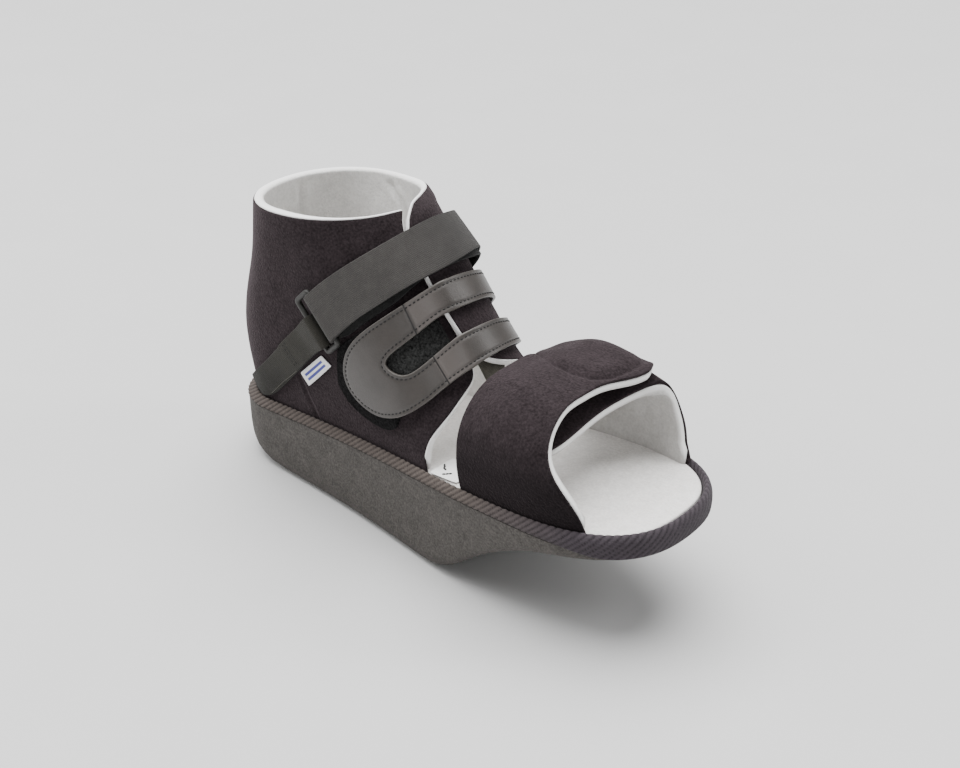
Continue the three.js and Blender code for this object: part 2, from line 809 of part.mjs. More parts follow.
// Leather strap: a U laid on its side, from the far side over the instep, round its closed end and back
const LEATHER_THICK = 1.8;
const LEATHER = [
  { outWrap: 1.4, outH: 49, inWrap: 1.4, inH: 36, lift: 2.9 },
  { outWrap: 1.28, outH: 63.5, inWrap: 1.28, inH: 50.5, lift: 6.1 },
  { outWrap: 1.15, outH: 74.5, inWrap: 1.15, inH: 61.6, lift: 8.5 },
  { outWrap: 1.06, outH: 79, inWrap: 1.06, inH: 66.8, lift: 8.7 },
  { outWrap: 0.98, outH: 80.6, inWrap: 0.985, inH: 68, lift: 8.4 },
  { outWrap: 0.91, outH: 79, inWrap: 0.915, inH: 67.5, lift: 7.5 },
  { outWrap: 0.84, outH: 75, inWrap: 0.85, inH: 63, lift: 3.4 },
  { outWrap: 0.76, outH: 68.5, inWrap: 0.795, inH: 58.1, lift: 3 },
  { outWrap: 0.68, outH: 60, inWrap: 0.745, inH: 53, lift: 3 },
  { outWrap: 0.612, outH: 50, inWrap: 0.725, inH: 50, lift: 3 },
  { outWrap: 0.565, outH: 37, inWrap: 0.718, inH: 48, lift: 3.2 },
  { outWrap: 0.557, outH: 26.5, inWrap: 0.72, inH: 46, lift: 3.2 },
  { outWrap: 0.582, outH: 21, inWrap: 0.73, inH: 44.3, lift: 3.2 },
  { outWrap: 0.64, outH: 22.5, inWrap: 0.747, inH: 43.7, lift: 3.2 },
  { outWrap: 0.7, outH: 26.4, inWrap: 0.772, inH: 45, lift: 3.2 },
  { outWrap: 0.775, outH: 33, inWrap: 0.82, inH: 49.5, lift: 3 },
  { outWrap: 0.845, outH: 39.5, inWrap: 0.865, inH: 53.5, lift: 3.4 },
  { outWrap: 0.91, outH: 43.5, inWrap: 0.915, inH: 57, lift: 7.5 },
  { outWrap: 0.975, outH: 45.6, inWrap: 0.975, inH: 58.5, lift: 8.4 },
  { outWrap: 1.06, outH: 45, inWrap: 1.06, inH: 57.3, lift: 8.7 },
  { outWrap: 1.15, outH: 40.5, inWrap: 1.15, inH: 52, lift: 8.5 },
  { outWrap: 1.28, outH: 31, inWrap: 1.28, inH: 43.5, lift: 6.1 },
  { outWrap: 1.4, outH: 19, inWrap: 1.4, inH: 31, lift: 2.9 },
];
function leatherRow({ outWrap, outH, inWrap, inH, lift }) {
  return acrossBand({ wrap: outWrap, h: outH, lift }, { wrap: inWrap, h: inH, lift }, 3);
}
add('instep_strap', bandSolid(LEATHER.map(leatherRow), 2, LEATHER_THICK), finish(0x6b6560, 0.5, 0));

// Pile patch under the leather strap
const PATCH_LIFT = 0.95;
const PATCH_THICK = 1.1;
const PATCH = [
  { wrap: 0.522, low: 20.5, high: 29 },
  { wrap: 0.535, low: 16, high: 34.5 },
  { wrap: 0.555, low: 13.6, high: 42 },
  { wrap: 0.58, low: 13.8, high: 50 },
  { wrap: 0.61, low: 17, high: 54 },
  { wrap: 0.66, low: 24, high: 59 },
  { wrap: 0.71, low: 30, high: 63.8 },
  { wrap: 0.78, low: 36, high: 70 },
  { wrap: 0.86, low: 43, high: 77 },
];
function patchRow({ wrap, low, high }) {
  return acrossBand({ wrap, h: high, lift: PATCH_LIFT }, { wrap, h: low, lift: PATCH_LIFT }, 5);
}
add('loop_patch', bandSolid(PATCH.map(patchRow), 2, PATCH_THICK), finish(0x1d1c1e, 1, 0));

// Woven tag under the lower edge of the heel tab
const TAG_LIFT = 0.7;
const TAG_THICK = 0.6;
const TAG = [
  { upX: 61.8, upH: 26.6, lowX: 67, lowH: 19.8 },
  { upX: 71.2, upH: 34.6, lowX: 77.3, lowH: 28.9 },
  { upX: 80.6, upH: 42.6, lowX: 87.6, lowH: 38.4 },
];
function tagRow({ upX, upH, lowX, lowH }) {
  const up = { wrap: wrapAt(upX, upH), h: upH, lift: TAG_LIFT };
  const low = { wrap: wrapAt(lowX, lowH), h: lowH, lift: TAG_LIFT };
  return acrossBand(up, low, 2);
}
add('side_tag', bandSolid(TAG.map(tagRow), 2, TAG_THICK), finish(0xf1f1ee, 0.8, 0));

// Webbing facing that fills the foot of the lap at the instep
const FACING_THICK = 1.4;
const FACING_LIFT = -1.9;
const FACING = [
  { h: 35, to: 0.99 },
  { h: 39, to: 1.02 },
  { h: 43, to: 1.04 },
  { h: 47, to: 1.05 },
  { h: 52, to: 1.05 },
];
function facingRow({ h, to }) {
  const wrap = column(NEAR_END, 'h', 'wrap', h) + 0.016;
  return acrossBand({ wrap, h, lift: FACING_LIFT }, { wrap: to, h, lift: FACING_LIFT }, 4);
}
add('instep_facing', bandSolid(FACING.map(facingRow), 1, FACING_THICK), finish(0x4b4a40, 0.9, 0));

// Label on the footbed in the gap of the near side
const LABEL_X = 165.2;
const LABEL_Y = -30.8;
const LABEL_LONG = 18;
const LABEL_WIDE = 17;
const LABEL_THICK = 0.4;
function labelSolid() {
  const geometry = new THREE.BoxGeometry(LABEL_LONG, LABEL_WIDE, LABEL_THICK);
  geometry.rotateY(-Math.atan(BED_RISE));
  geometry.translate(LABEL_X, LABEL_Y, bedZ(LABEL_X) + GAP + LABEL_THICK / 2);
  return geometry;
}
add('size_label', labelSolid(), finish(0xf4f4f2, 0.8, 0));

export default root;
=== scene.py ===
import math

import bmesh
import bpy
import numpy as np
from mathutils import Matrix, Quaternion, Vector


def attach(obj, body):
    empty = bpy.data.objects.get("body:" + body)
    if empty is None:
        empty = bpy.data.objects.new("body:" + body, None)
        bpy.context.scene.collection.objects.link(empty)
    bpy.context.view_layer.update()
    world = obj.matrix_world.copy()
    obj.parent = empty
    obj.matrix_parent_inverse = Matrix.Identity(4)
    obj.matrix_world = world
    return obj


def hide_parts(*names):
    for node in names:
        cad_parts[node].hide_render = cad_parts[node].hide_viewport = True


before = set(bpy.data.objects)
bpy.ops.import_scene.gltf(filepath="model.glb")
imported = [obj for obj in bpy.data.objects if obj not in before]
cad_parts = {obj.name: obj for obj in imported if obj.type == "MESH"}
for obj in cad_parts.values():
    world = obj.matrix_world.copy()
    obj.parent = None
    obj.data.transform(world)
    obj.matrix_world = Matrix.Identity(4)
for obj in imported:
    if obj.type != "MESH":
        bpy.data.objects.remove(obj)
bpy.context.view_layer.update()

# Studio: a pale paper floor under a white surround, lit by a very wide soft light overhead,
# a soft box from the heel side and two narrow ones, above the camera and on the far side.
# The camera stands where the photograph was taken, a little above the shoe at its toe end.
EYE = Vector((0.3963, -0.4360, 0.4181))
AIM = Vector((0.01581, 0.0, 0.08226))
LENS, SENSOR, CLIP = 51.3, 36, 0.01
ROLL = math.radians(0.686)
SUN_WAY = Vector((0.22, -0.15, -1))
SUN_STRENGTH = 7.4
SUN_SPREAD = math.radians(62)
WHITE = (1, 1, 1, 1)
SURROUND_STRENGTH, BACKDROP_STRENGTH = 0.28, 1.38
PAPER_SIZE, PAPER_HEIGHT = 40, -0.0002
PAPER_TONES = (0.56, 0.56, 0.56), (0.59, 0.59, 0.59)

bpy.ops.object.camera_add(location=EYE)
camera = bpy.context.object
camera.name = "photo_camera"
camera.data.sensor_fit = "HORIZONTAL"
camera.data.sensor_width = SENSOR
camera.data.lens = LENS
camera.data.clip_start = CLIP
camera.rotation_mode = "QUATERNION"
camera.rotation_quaternion = (AIM - EYE).to_track_quat("-Z", "Y") @ Quaternion((0, 0, 1), ROLL)
bpy.context.scene.camera = camera


def add_light(kind, name, place, way, strength):
    """A light of some kind at a place, shining along a way."""
    bpy.ops.object.light_add(type=kind, location=place)
    lamp = bpy.context.object
    lamp.name = name
    lamp.data.energy = strength
    lamp.rotation_mode = "QUATERNION"
    lamp.rotation_quaternion = way.to_track_quat("-Z", "Y")
    return lamp.data


def soft_box(name, place, aim, size, watts):
    """A soft light of a width and a height, turned to a place on the shoe."""
    box = add_light("AREA", name, place, Vector(aim) - Vector(place), watts)
    box.shape = "RECTANGLE"
    box.size, box.size_y = size


add_light("SUN", "overhead_light", (-0.4, 0.1, 1.5), SUN_WAY, SUN_STRENGTH).angle = SUN_SPREAD
soft_box("heel_box", (-1.0, -0.7, 0.95), (0, 0, 0.09), (0.7, 0.9), 10)
soft_box("camera_strip", (0.64, -0.9, 0.7), (0, -0.018, 0.128), (0.5, 0.25), 2)
soft_box("far_strip", (0.75, 0.73, 0.8), (0, 0, 0.12), (0.26, 0.6), 4.4)


def new_node(tree, kind, sockets=None, **settings):
    """A node with its settings, each input set to a value or joined to a socket."""
    node = tree.nodes.new(kind)
    for key, value in settings.items():
        setattr(node, key, value)
    for key, value in (sockets or {}).items():
        if isinstance(value, bpy.types.NodeSocket):
            tree.links.new(value, node.inputs[key])
        else:
            node.inputs[key].default_value = value
    return node


def new_material(name):
    material = bpy.data.materials.new(name)
    material.use_nodes = True
    return material, material.node_tree, material.node_tree.nodes["Principled BSDF"]


def tint(tree, share, first, second, blend_type="MIX"):
    """Colour between two, each a tone or a socket, by a share from 0 to 1."""
    first, second = ((*end, 1) if isinstance(end, tuple) else end for end in (first, second))
    ends = {"Factor": share, "A": first, "B": second}
    return new_node(tree, "ShaderNodeMix", ends, data_type="RGBA", blend_type=blend_type).outputs["Result"]


def set_surface(shader, colour, roughness, specular=0.5, sheen=0.0, sheen_roughness=0.5):
    """Joins a colour to a shader and sets its gloss and its sheen."""
    shader.id_data.links.new(colour, shader.inputs["Base Color"])
    shader.inputs["Roughness"].default_value = roughness
    shader.inputs["Specular IOR Level"].default_value = specular
    shader.inputs["Sheen Weight"].default_value = sheen
    shader.inputs["Sheen Roughness"].default_value = sheen_roughness


surround = bpy.context.scene.world or bpy.data.worlds.new("surround")
bpy.context.scene.world = surround
surround.use_nodes = True
sky = surround.node_tree
lit = sky.nodes["Background"]
lit.inputs["Color"].default_value = WHITE
lit.inputs["Strength"].default_value = SURROUND_STRENGTH
seen = new_node(sky, "ShaderNodeBackground", {"Color": WHITE, "Strength": BACKDROP_STRENGTH})
lit_or_seen = new_node(sky, "ShaderNodeMixShader", {
    "Fac": new_node(sky, "ShaderNodeLightPath").outputs["Is Camera Ray"],
    1: lit.outputs["Background"],
    2: seen.outputs["Background"],
})
sky.links.new(lit_or_seen.outputs["Shader"], sky.nodes["World Output"].inputs["Surface"])

bpy.ops.mesh.primitive_plane_add(size=PAPER_SIZE, location=(0, 0, PAPER_HEIGHT))
floor = bpy.context.object
floor.name = "paper_floor"
paper, tree, shader = new_material("floor_paper")
paper_place = new_node(tree, "ShaderNodeTexCoord").outputs["Object"]
paper_noise = new_node(tree, "ShaderNodeTexNoise", {"Vector": paper_place, "Scale": 14.0, "Detail": 2.0})
set_surface(shader, tint(tree, paper_noise.outputs["Fac"], *PAPER_TONES), roughness=0.9, specular=0.1)
floor.data.materials.append(paper)

# Sole: one block of grey microcellular foam, flat under the heel and midfoot and hollowed
# up to a thin plate under the toes. It is moulded, with a fine speckle and a rounded lower edge,
# and the upper is cemented to it.
MM = 0.001
SAME_POINT = 0.000002
FLAT_ENOUGH = math.radians(70)
SHARP = math.radians(50)
HEEL_AT = -136.6 * MM
BED_HEIGHT = 36.6 * MM
BED_SLOPE = 27 / 275
TAPE_LIFT = 2.0 * MM
LIFT_FROM, LIFT_TO = 70 * MM, 100 * MM
SOLE_RIM = -6.5 * MM, -5.6 * MM
SOLE_EDGE = 0.6 * MM
GRAIN_LEVELS, GRAIN_ROUGH = (0.3, 0.7), 0.6
SOLE_TONES = (0.034, 0.031, 0.0285), (0.106, 0.097, 0.089)


def mode(name):
    bpy.ops.object.mode_set(mode=name)


def alone(piece):
    """Makes a piece the only chosen one."""
    bpy.ops.object.select_all(action="DESELECT")
    piece.select_set(True)
    bpy.context.view_layer.objects.active = piece


def copy_of(node, name):
    """A merged copy of a solid in four-sided faces, alone and active."""
    piece = bpy.data.objects.new(name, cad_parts[node].data.copy())
    bpy.context.collection.objects.link(piece)
    alone(piece)
    mode("EDIT")
    bpy.ops.mesh.select_all(action="SELECT")
    bpy.ops.mesh.remove_doubles(threshold=SAME_POINT)
    bpy.ops.mesh.customdata_custom_splitnormals_clear()
    bpy.ops.mesh.tris_convert_to_quads(face_threshold=FLAT_ENOUGH, shape_threshold=FLAT_ENOUGH)
    mode("OBJECT")
    piece.data.materials.clear()
    return piece


def soften(piece, edge, segments, levels, bare=None):
    """Rounds the sharp edges by a length in metres, or only those in bare, then smooths the surface."""
    alone(piece)
    mode("EDIT")
    bpy.ops.mesh.select_mode(type="EDGE")
    bpy.ops.mesh.select_all(action="DESELECT")
    bpy.ops.mesh.edges_select_sharp(sharpness=SHARP)
    if bare is not None:
        mode("OBJECT")
        for line in piece.data.edges:
            line.select = line.select and all(bare(piece.data.vertices[i].co) for i in line.vertices)
        mode("EDIT")
    bpy.ops.mesh.bevel(offset=edge, segments=segments, affect="EDGES", clamp_overlap=True)
    mode("OBJECT")
    rounding = piece.modifiers.new("rounding", "SUBSURF")
    rounding.levels = rounding.render_levels = levels
    bpy.ops.object.modifier_apply(modifier="rounding")
    bpy.ops.object.shade_smooth()
    return piece


def stand_for(piece, node, material):
    piece.data.materials.append(material)
    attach(piece, "root")
    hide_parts(node)


def add_sockets(group, side, *names):
    for name in names:
        group.interface.new_socket(name, in_out=side, socket_type="NodeSocketFloat")


def calc(tree, operation, *terms):
    return new_node(tree, "ShaderNodeMath", dict(enumerate(terms)), operation=operation).outputs["Value"]


def ramp(tree, value, low, high):
    """0 at one level of a value and 1 at another."""
    levels = {"Value": value, "From Min": low, "From Max": high}
    return new_node(tree, "ShaderNodeMapRange", levels).outputs["Result"]


def blend(tree, share, first, second):
    ends = {"Factor": share, "A": first, "B": second}
    return new_node(tree, "ShaderNodeMix", ends, data_type="FLOAT").outputs["Result"]


# Speckle of foam, felt and pile: a fine grain over broad patches, both sized in millimetres
grain = bpy.data.node_groups.new("fine_grain", "ShaderNodeTree")
add_sockets(grain, "INPUT", "Grain mm", "Patch mm", "Grain share")
add_sockets(grain, "OUTPUT", "Tone", "Height")
grain_in = new_node(grain, "NodeGroupInput").outputs
grain_place = new_node(grain, "ShaderNodeTexCoord").outputs["Object"]


def grain_noise(size_name, detail):
    per_metre = calc(grain, "DIVIDE", 1 / MM, grain_in[size_name])
    sockets = {"Vector": grain_place, "Scale": per_metre, "Detail": detail, "Roughness": GRAIN_ROUGH}
    return ramp(grain, new_node(grain, "ShaderNodeTexNoise", sockets).outputs["Fac"], *GRAIN_LEVELS)


fine_noise = grain_noise("Grain mm", 3.0)
grain_tone = blend(grain, grain_in["Grain share"], grain_noise("Patch mm", 2.0), fine_noise)
new_node(grain, "NodeGroupOutput", {"Tone": grain_tone, "Height": fine_noise})


def speckle(tree, grain_mm, patch_mm, share):
    sizes = {"Grain mm": grain_mm, "Patch mm": patch_mm, "Grain share": share}
    return new_node(tree, "ShaderNodeGroup", sizes, node_tree=grain).outputs


def relief(shader, height, depth, strength):
    """Fine relief of a depth in metres on the shader's normal."""
    tree = shader.id_data
    bump = new_node(tree, "ShaderNodeBump", {"Height": height, "Strength": strength, "Distance": depth})
    tree.links.new(bump.outputs["Normal"], shader.inputs["Normal"])


def speckled(name, sizes, tones, bump, roughness, specular=0.5):
    """A material of two tones in a speckle, with a fine relief of a depth and a strength."""
    material, tree, shader = new_material(name)
    spots = speckle(tree, *sizes)
    set_surface(shader, tint(tree, spots["Tone"], *tones), roughness, specular)
    relief(shader, spots["Height"], *bump)
    return material


def vectors_of(items, key):
    """The vectors that the items of a mesh hold, one row for each item."""
    values = np.empty(len(items) * 3, np.float32)
    items.foreach_get(key, values)
    return values.reshape(-1, 3).astype(float)


def points_of(piece):
    return vectors_of(piece.data.vertices, "co")


def move_to(piece, co):
    piece.data.vertices.foreach_set("co", co.astype(np.float32).ravel())
    piece.data.update()


def part(distance, length):
    """How much of a length a distance covers, from 0 to 1."""
    return np.clip(distance / length, 0, 1)


def bed_at(x):
    """Height of the footbed's top edge at a place along the shoe."""
    return BED_HEIGHT + BED_SLOPE * (x - HEEL_AT)


def moves(change):
    """Lets a change to rows of x, y and z work on the points of a piece."""
    def changed(piece, *amounts):
        co = points_of(piece)
        change(*co.T, *amounts)
        move_to(piece, co)
    return changed


@moves
def lift_rim(x, y, z, low, high):
    """Raises the points that lie between two heights under the footbed, all along but the toe."""
    under = z - bed_at(x)
    share = part(LIFT_TO - x, LIFT_TO - LIFT_FROM)
    z += np.where((under > low) & (under < high), TAPE_LIFT * share, 0)


sole = copy_of("sole", "sole_block")
lift_rim(sole, *SOLE_RIM)
soften(sole, SOLE_EDGE, 2, 2)
foam = speckled("sole_foam", (1.1, 6.0, 0.75), SOLE_TONES, (0.3 * MM, 0.6), roughness=0.82, specular=0.3)
stand_for(sole, "sole", foam)

# Insole: a footbed board with a pale brushed cover, laid on the sole inside the edge tape.
# The cover is a short grey-white pile over thin foam, so its edge is soft and round.
INSOLE_EDGE = 0.4 * MM
INSOLE_TONES = (0.62, 0.6, 0.58), (0.84, 0.82, 0.8)


def stored(tree, name):
    """A value that is kept on the points of the piece."""
    return new_node(tree, "ShaderNodeAttribute", attribute_name=name).outputs["Fac"]


def pale_cloth(name, dark, light, rim=None):
    """Brushed cloth, and the tone of the bare foam where its edge is cut."""
    material, tree, shader = new_material(name)
    pile = speckle(tree, 1.3, 5.0, 0.6)
    colour = tint(tree, pile["Tone"], dark, light)
    if rim is not None:
        colour = tint(tree, stored(tree, "rim"), colour, rim)
    set_surface(shader, colour, roughness=0.95, specular=0.15, sheen=0.15, sheen_roughness=0.6)
    relief(shader, pile["Height"], 0.3 * MM, 0.45)
    return material


insole = soften(copy_of("insole", "insole_cover"), INSOLE_EDGE, 2, 2)
stand_for(insole, "insole", pale_cloth("insole_cloth", *INSOLE_TONES))

# Edge tape: a ribbed woven tape folded over the edge of the footbed and sewn all the way round.
# It is low and warm grey along the sides and heel, and tall and dark round the toe.
# Its cords lie slantwise, so they are raised in the mesh.
FOOT_LENGTH = 275 * MM
HEEL_RADIUS = 34.5 * MM
BALL_HALF = 45.5 * MM
BALL_X = 212 * MM
TOE_POWER = 2.53
PLAN_STEPS = 160
TAPE_RIM = -6 * MM, -5 * MM
TAPE_EDGE = 0.35 * MM
ALONG_TAPE = 0.72
UNDERSIDE = -0.6
RIB_PITCH = 3.7 * MM
RIB_HEIGHT, RIB_BASE = 0.55 * MM, 0.75
RIB_SLANT = 1.15
RIB_POWER = 0.7
TOE_FROM, TOE_RUN = 45 * MM, 65 * MM
TOE_FLATTER = 0.4
FIBRE_SHARE = 0.35
TAPE_SIDE_TONES = (0.004, 0.003, 0.003), (0.118, 0.098, 0.088)
TAPE_TOE_TONES = (0.006, 0.0045, 0.006), (0.068, 0.057, 0.066)
tape = copy_of("sole_binding", "edge_tape")
lift_rim(tape, *TAPE_RIM)
soften(tape, TAPE_EDGE, 1, 2)


def plan_half(x):
    """Half width of the footbed at a distance from the heel."""
    if x < HEEL_RADIUS:
        return math.sqrt(max(0.0, HEEL_RADIUS ** 2 - (HEEL_RADIUS - x) ** 2))
    if x < BALL_X:
        t = (x - HEEL_RADIUS) / (BALL_X - HEEL_RADIUS)
        return HEEL_RADIUS + (BALL_HALF - HEEL_RADIUS) * t * t * (3 - 2 * t)
    t = min(1.0, (x - BALL_X) / (FOOT_LENGTH - BALL_X))
    return BALL_HALF * (1 - t ** TOE_POWER) ** (1 / TOE_POWER)


def along_line(points, line):
    """For each point: its distance to a line of points, how far along its nearest place is, and which step."""
    line = np.asarray(line, float)
    best = np.full(len(points), 1e9)
    run = np.zeros(len(points))
    which = np.zeros(len(points), int)
    done = 0.0
    for i, (a, b) in enumerate(zip(line[:-1], line[1:])):
        step = b - a
        long = math.sqrt(float(step @ step))
        t = np.clip((points - a) @ step / (long * long), 0, 1)
        gap = np.linalg.norm(points - a - t[:, None] * step, axis=1)
        nearer = gap < best
        best[nearer] = gap[nearer]
        run[nearer] = done + t[nearer] * long
        which[nearer] = i
        done += long
    return best, run, which


def normals_of(piece):
    return vectors_of(piece.data.vertex_normals, "vector")


def store(piece, name, values):
    """Keeps a value per point on the piece, for its material."""
    layer = piece.data.attributes.new(name, "FLOAT", "POINT")
    layer.data.foreach_set("value", np.asarray(values, np.float32))


def choose_edges(piece, wanted):
    """Opens a piece with only the wanted edges chosen."""
    mode("EDIT")
    bpy.ops.mesh.select_mode(type="EDGE")
    bpy.ops.mesh.select_all(action="DESELECT")
    mode("OBJECT")
    for edge in piece.data.edges:
        edge.select = wanted(edge)
    mode("EDIT")


def runs_along(edge):
    """Whether an edge of the tape runs along it."""
    a, b = (tape.data.vertices[i].co for i in edge.vertices)
    centre = (a + b) / 2
    inside = Vector((min(max(centre.x, HEEL_AT + HEEL_RADIUS), HEEL_AT + BALL_X), 0, 0))
    out = Vector((centre.x - inside.x, centre.y, 0)).normalized()
    return abs((b - a).normalized().dot(Vector((-out.y, out.x, 0)))) > ALONG_TAPE


# The tape gets finer faces along its length, then its cords
choose_edges(tape, runs_along)
bpy.ops.mesh.subdivide(number_cuts=3)
mode("OBJECT")

steps = [(1 - math.cos(math.pi * i / PLAN_STEPS)) / 2 * FOOT_LENGTH for i in range(PLAN_STEPS + 1)]
near_edge = [(HEEL_AT + x, -plan_half(x), 0) for x in steps]
far_edge = [(x, -y, z) for x, y, z in reversed(near_edge)]
tape_at = points_of(tape)
_, tape_run, _ = along_line(tape_at * (1, 1, 0), near_edge + far_edge[1:])
bed_height = tape_at[:, 2] - bed_at(tape_at[:, 0])
cord = np.abs(np.sin(math.pi * ((tape_run - RIB_SLANT * bed_height) / RIB_PITCH))) ** RIB_POWER
tape_normal = normals_of(tape)
shown = np.where(tape_normal[:, 2] < UNDERSIDE, 0.0, 1.0)
toe = part(tape_at[:, 0] - TOE_FROM, TOE_RUN)
rise = RIB_HEIGHT * (1 - TOE_FLATTER * toe) * shown * (cord - RIB_BASE)
move_to(tape, tape_at + tape_normal * rise[:, None])
store(tape, "cord", cord)
store(tape, "toe", toe)

tape_weave, tree, shader = new_material("edge_tape_weave")
fibre = speckle(tree, 0.9, 4.0, 0.75)
rope = blend(tree, FIBRE_SHARE, stored(tree, "cord"), fibre["Tone"])
side_tint = tint(tree, rope, *TAPE_SIDE_TONES)
toe_tint = tint(tree, rope, *TAPE_TOE_TONES)
tape_tint = tint(tree, stored(tree, "toe"), side_tint, toe_tint)
set_surface(shader, tape_tint, roughness=0.85, specular=0.15, sheen=0.05)
relief(shader, fibre["Height"], 0.3 * MM, 0.5)
stand_for(tape, "sole_binding", tape_weave)

# Rear upper: charcoal felt bonded to pale foam cloth, one wall from the near front edge
# round the heel to the far front edge, which laps over the near one at the instep.
# The felt is cut flush, and the pale foam shows as a round white rim.
BARE_FROM, BARE_RUN = 0.5 * MM, 2.5 * MM
OPEN_ABOVE = 4 * MM
FELT_EDGE = 0.45 * MM
FELT_CUT, CUT_REACH = 1.1 * MM, 2.3 * MM
FELT_SEAT, FOAM_SEAT, SEAT_BELOW = 2.5 * MM, 3.6 * MM, 2 * MM
FOAM_EDGE = 1.3 * MM
FOAM_ROLL, FOAM_REACH = 1.5 * MM, 1.9 * MM
RIM_GAIN = 2.5
LIP_AT, LIP_RUN = 2.2, 5 * MM
FELT_TONES = (0.0092, 0.0069, 0.0076), (0.0385, 0.0299, 0.0328)
FELT_PAINTED_SHADE_TONES = (0.0028, 0.0021, 0.0024), (0.0122, 0.0095, 0.0105)
FELT_SHEEN = (0.6, 0.5, 0.53, 1)
LINING_TONES = (0.65, 0.64, 0.62), (0.87, 0.86, 0.84), (0.93, 0.925, 0.915)
ANKLE_MIDDLE = (-70 * MM, 0, 95 * MM)
COLLAR_MIDDLE = np.array((-70, 0, 0)) * MM
COLLAR_SIDE = np.array((0.755, 0.656, 0))
COLLAR_FROM, COLLAR_RUN = 25 * MM, 15 * MM
COLLAR_AT = np.array([144, 150, 155, 157.5, 159.5, 161, 162.5]) * MM
COLLAR_BY = np.array([0, 0.6, 1.0, 0.7, 1.2, 2.3, 3.6]) * MM
NEAR_END = [(-34.9, -3.4, 161), (-31.9, -4.2, 156.7), (-27.9, -5.1, 151.1)]
NEAR_END_FOAM = [(-36.6, -3.1, 159.6), (-33.8, -3.8, 155.3), (-29.8, -4.7, 149.7)]
NEAR_END_SHIFT = (0.8, 3.2, 0)
QUARTER_SEAM = [(-80.5, -35.9, 73), (-78, -35.6, 67.3), (-72.5, -34.5, 55.2), (-65.8, -34.4, 44.5), (-63, -34.4, 38)]
HEEL_CREASE = [(-119.9, 9.9, 147), (-119.2, 9.3, 143.6), (-120, 9.8, 130.7), (-121, 10, 118)]
FAR_CREASE = [(-76.1, 33.3, 151.7), (-73.9, 33.2, 149), (-68, 32.9, 143), (-60, 32.5, 134)]


def mesh_of(piece):
    bm = bmesh.new()
    bm.from_mesh(piece.data)
    bm.normal_update()
    return bm


def smooth_side(start):
    """The faces that join a face without crossing a sharp edge."""
    side = {start}
    queue = [start]
    while queue:
        face = queue.pop()
        for edge in face.edges:
            for other in edge.link_faces:
                if other not in side and edge.calc_face_angle(0) < SHARP:
                    side.add(other)
                    queue.append(other)
    return side


def edge_of_top(piece, middle):
    """The edge of a sheet's outer side, in order, with the way in along the sheet and the way out of it."""
    bm = mesh_of(piece)
    middle = Vector(middle)
    outermost = max(bm.faces, key=lambda f: (f.calc_center_median() - middle).dot(f.normal) * f.calc_area())
    top = smooth_side(outermost)
    rim = {}
    for face in sorted(top, key=lambda f: f.index):
        for edge in face.edges:
            if any(other not in top for other in edge.link_faces):
                a, b = edge.verts
                rim.setdefault(a, []).append(b)
                rim.setdefault(b, []).append(a)
    walk = [next(iter(rim))]
    while True:
        following = next(v for v in rim[walk[-1]] if v not in walk[-2:-1])
        if following == walk[0]:
            break
        walk.append(following)
    at, inward, up = [], [], []
    for i, v in enumerate(walk):
        tangent = (walk[(i + 1) % len(walk)].co - walk[i - 1].co).normalized()
        faces = [f for f in v.link_faces if f in top]
        normal = sum((f.normal for f in faces), Vector()).normalized()
        way = normal.cross(tangent).normalized()
        centre = sum((f.calc_center_median() for f in faces), Vector()) / len(faces) - v.co
        at.append(v.co.copy())
        inward.append(way if way.dot(centre) > 0 else -way)
        up.append(normal)
    bm.free()
    return np.array(at + at[:1]), np.array(inward + inward[:1]), np.array(up + up[:1])


def bare_share(co):
    """1 where an edge is open to the eye, 0 where the tape covers it."""
    return part(co[:, 2] - bed_at(co[:, 0]) - BARE_FROM, BARE_RUN)


def open_edge(co):
    return co.z > bed_at(co.x) + OPEN_ABOVE


def cut_back(piece, middle, amount):
    """Cuts a sheet back along its open edge, before it is smoothed."""
    at, inward, _ = edge_of_top(piece, middle)
    co = points_of(piece)
    gap, _, which = along_line(co, at)
    back = np.where(gap < CUT_REACH, amount * bare_share(co), 0)
    nearest = which + (np.linalg.norm(co - at[which + 1], axis=1) < np.linalg.norm(co - at[which], axis=1))
    move_to(piece, co + inward[nearest] * back[:, None])


def draw_on(piece, line, reach, shift):
    """Draws the points near a line of points on by a shift, all in millimetres."""
    co = points_of(piece)
    gap, run, _ = along_line(co, np.array(line, float) * MM)
    fade = 1 - run / run.max()
    move = np.where(gap < reach * MM, fade, 0)
    move_to(piece, co + move[:, None] * np.array(shift) * MM)


@moves
def seat(x, y, z, amount):
    """Brings the lower edge of a sheet down into the tape and the footbed."""
    z -= np.where(z < bed_at(x) + SEAT_BELOW, amount, 0)


def round_foam(piece, middle, amount):
    """Rounds the open edge of a foam sheet and swells it outwards over the edge of the felt."""
    at, _, up = edge_of_top(piece, middle)
    soften(piece, FOAM_EDGE, 3, 2, open_edge)
    co = points_of(piece)
    gap, _, which = along_line(co, at)
    out = up[which] + up[which + 1]
    out /= np.linalg.norm(out, axis=1)[:, None]
    near_rim = bare_share(co) * np.exp(-((gap / FOAM_REACH) ** 2))
    move_to(piece, co + out * (amount * near_rim)[:, None])
    store(piece, "rim", np.clip(near_rim * RIM_GAIN, 0, 1))


def press(piece, line, width, depth, lift=0.0):
    """Sinks a soft groove along a line of points in millimetres, with a raised lip beside it."""
    co = points_of(piece)
    gap, run, _ = along_line(co, np.array(line, float) * MM)
    t = gap / width
    lip = lift * part(run, LIP_RUN)
    move = -depth * np.exp(-t * t) + lip * np.exp(-((t - LIP_AT) ** 2))
    move_to(piece, co + normals_of(piece) * move[:, None])


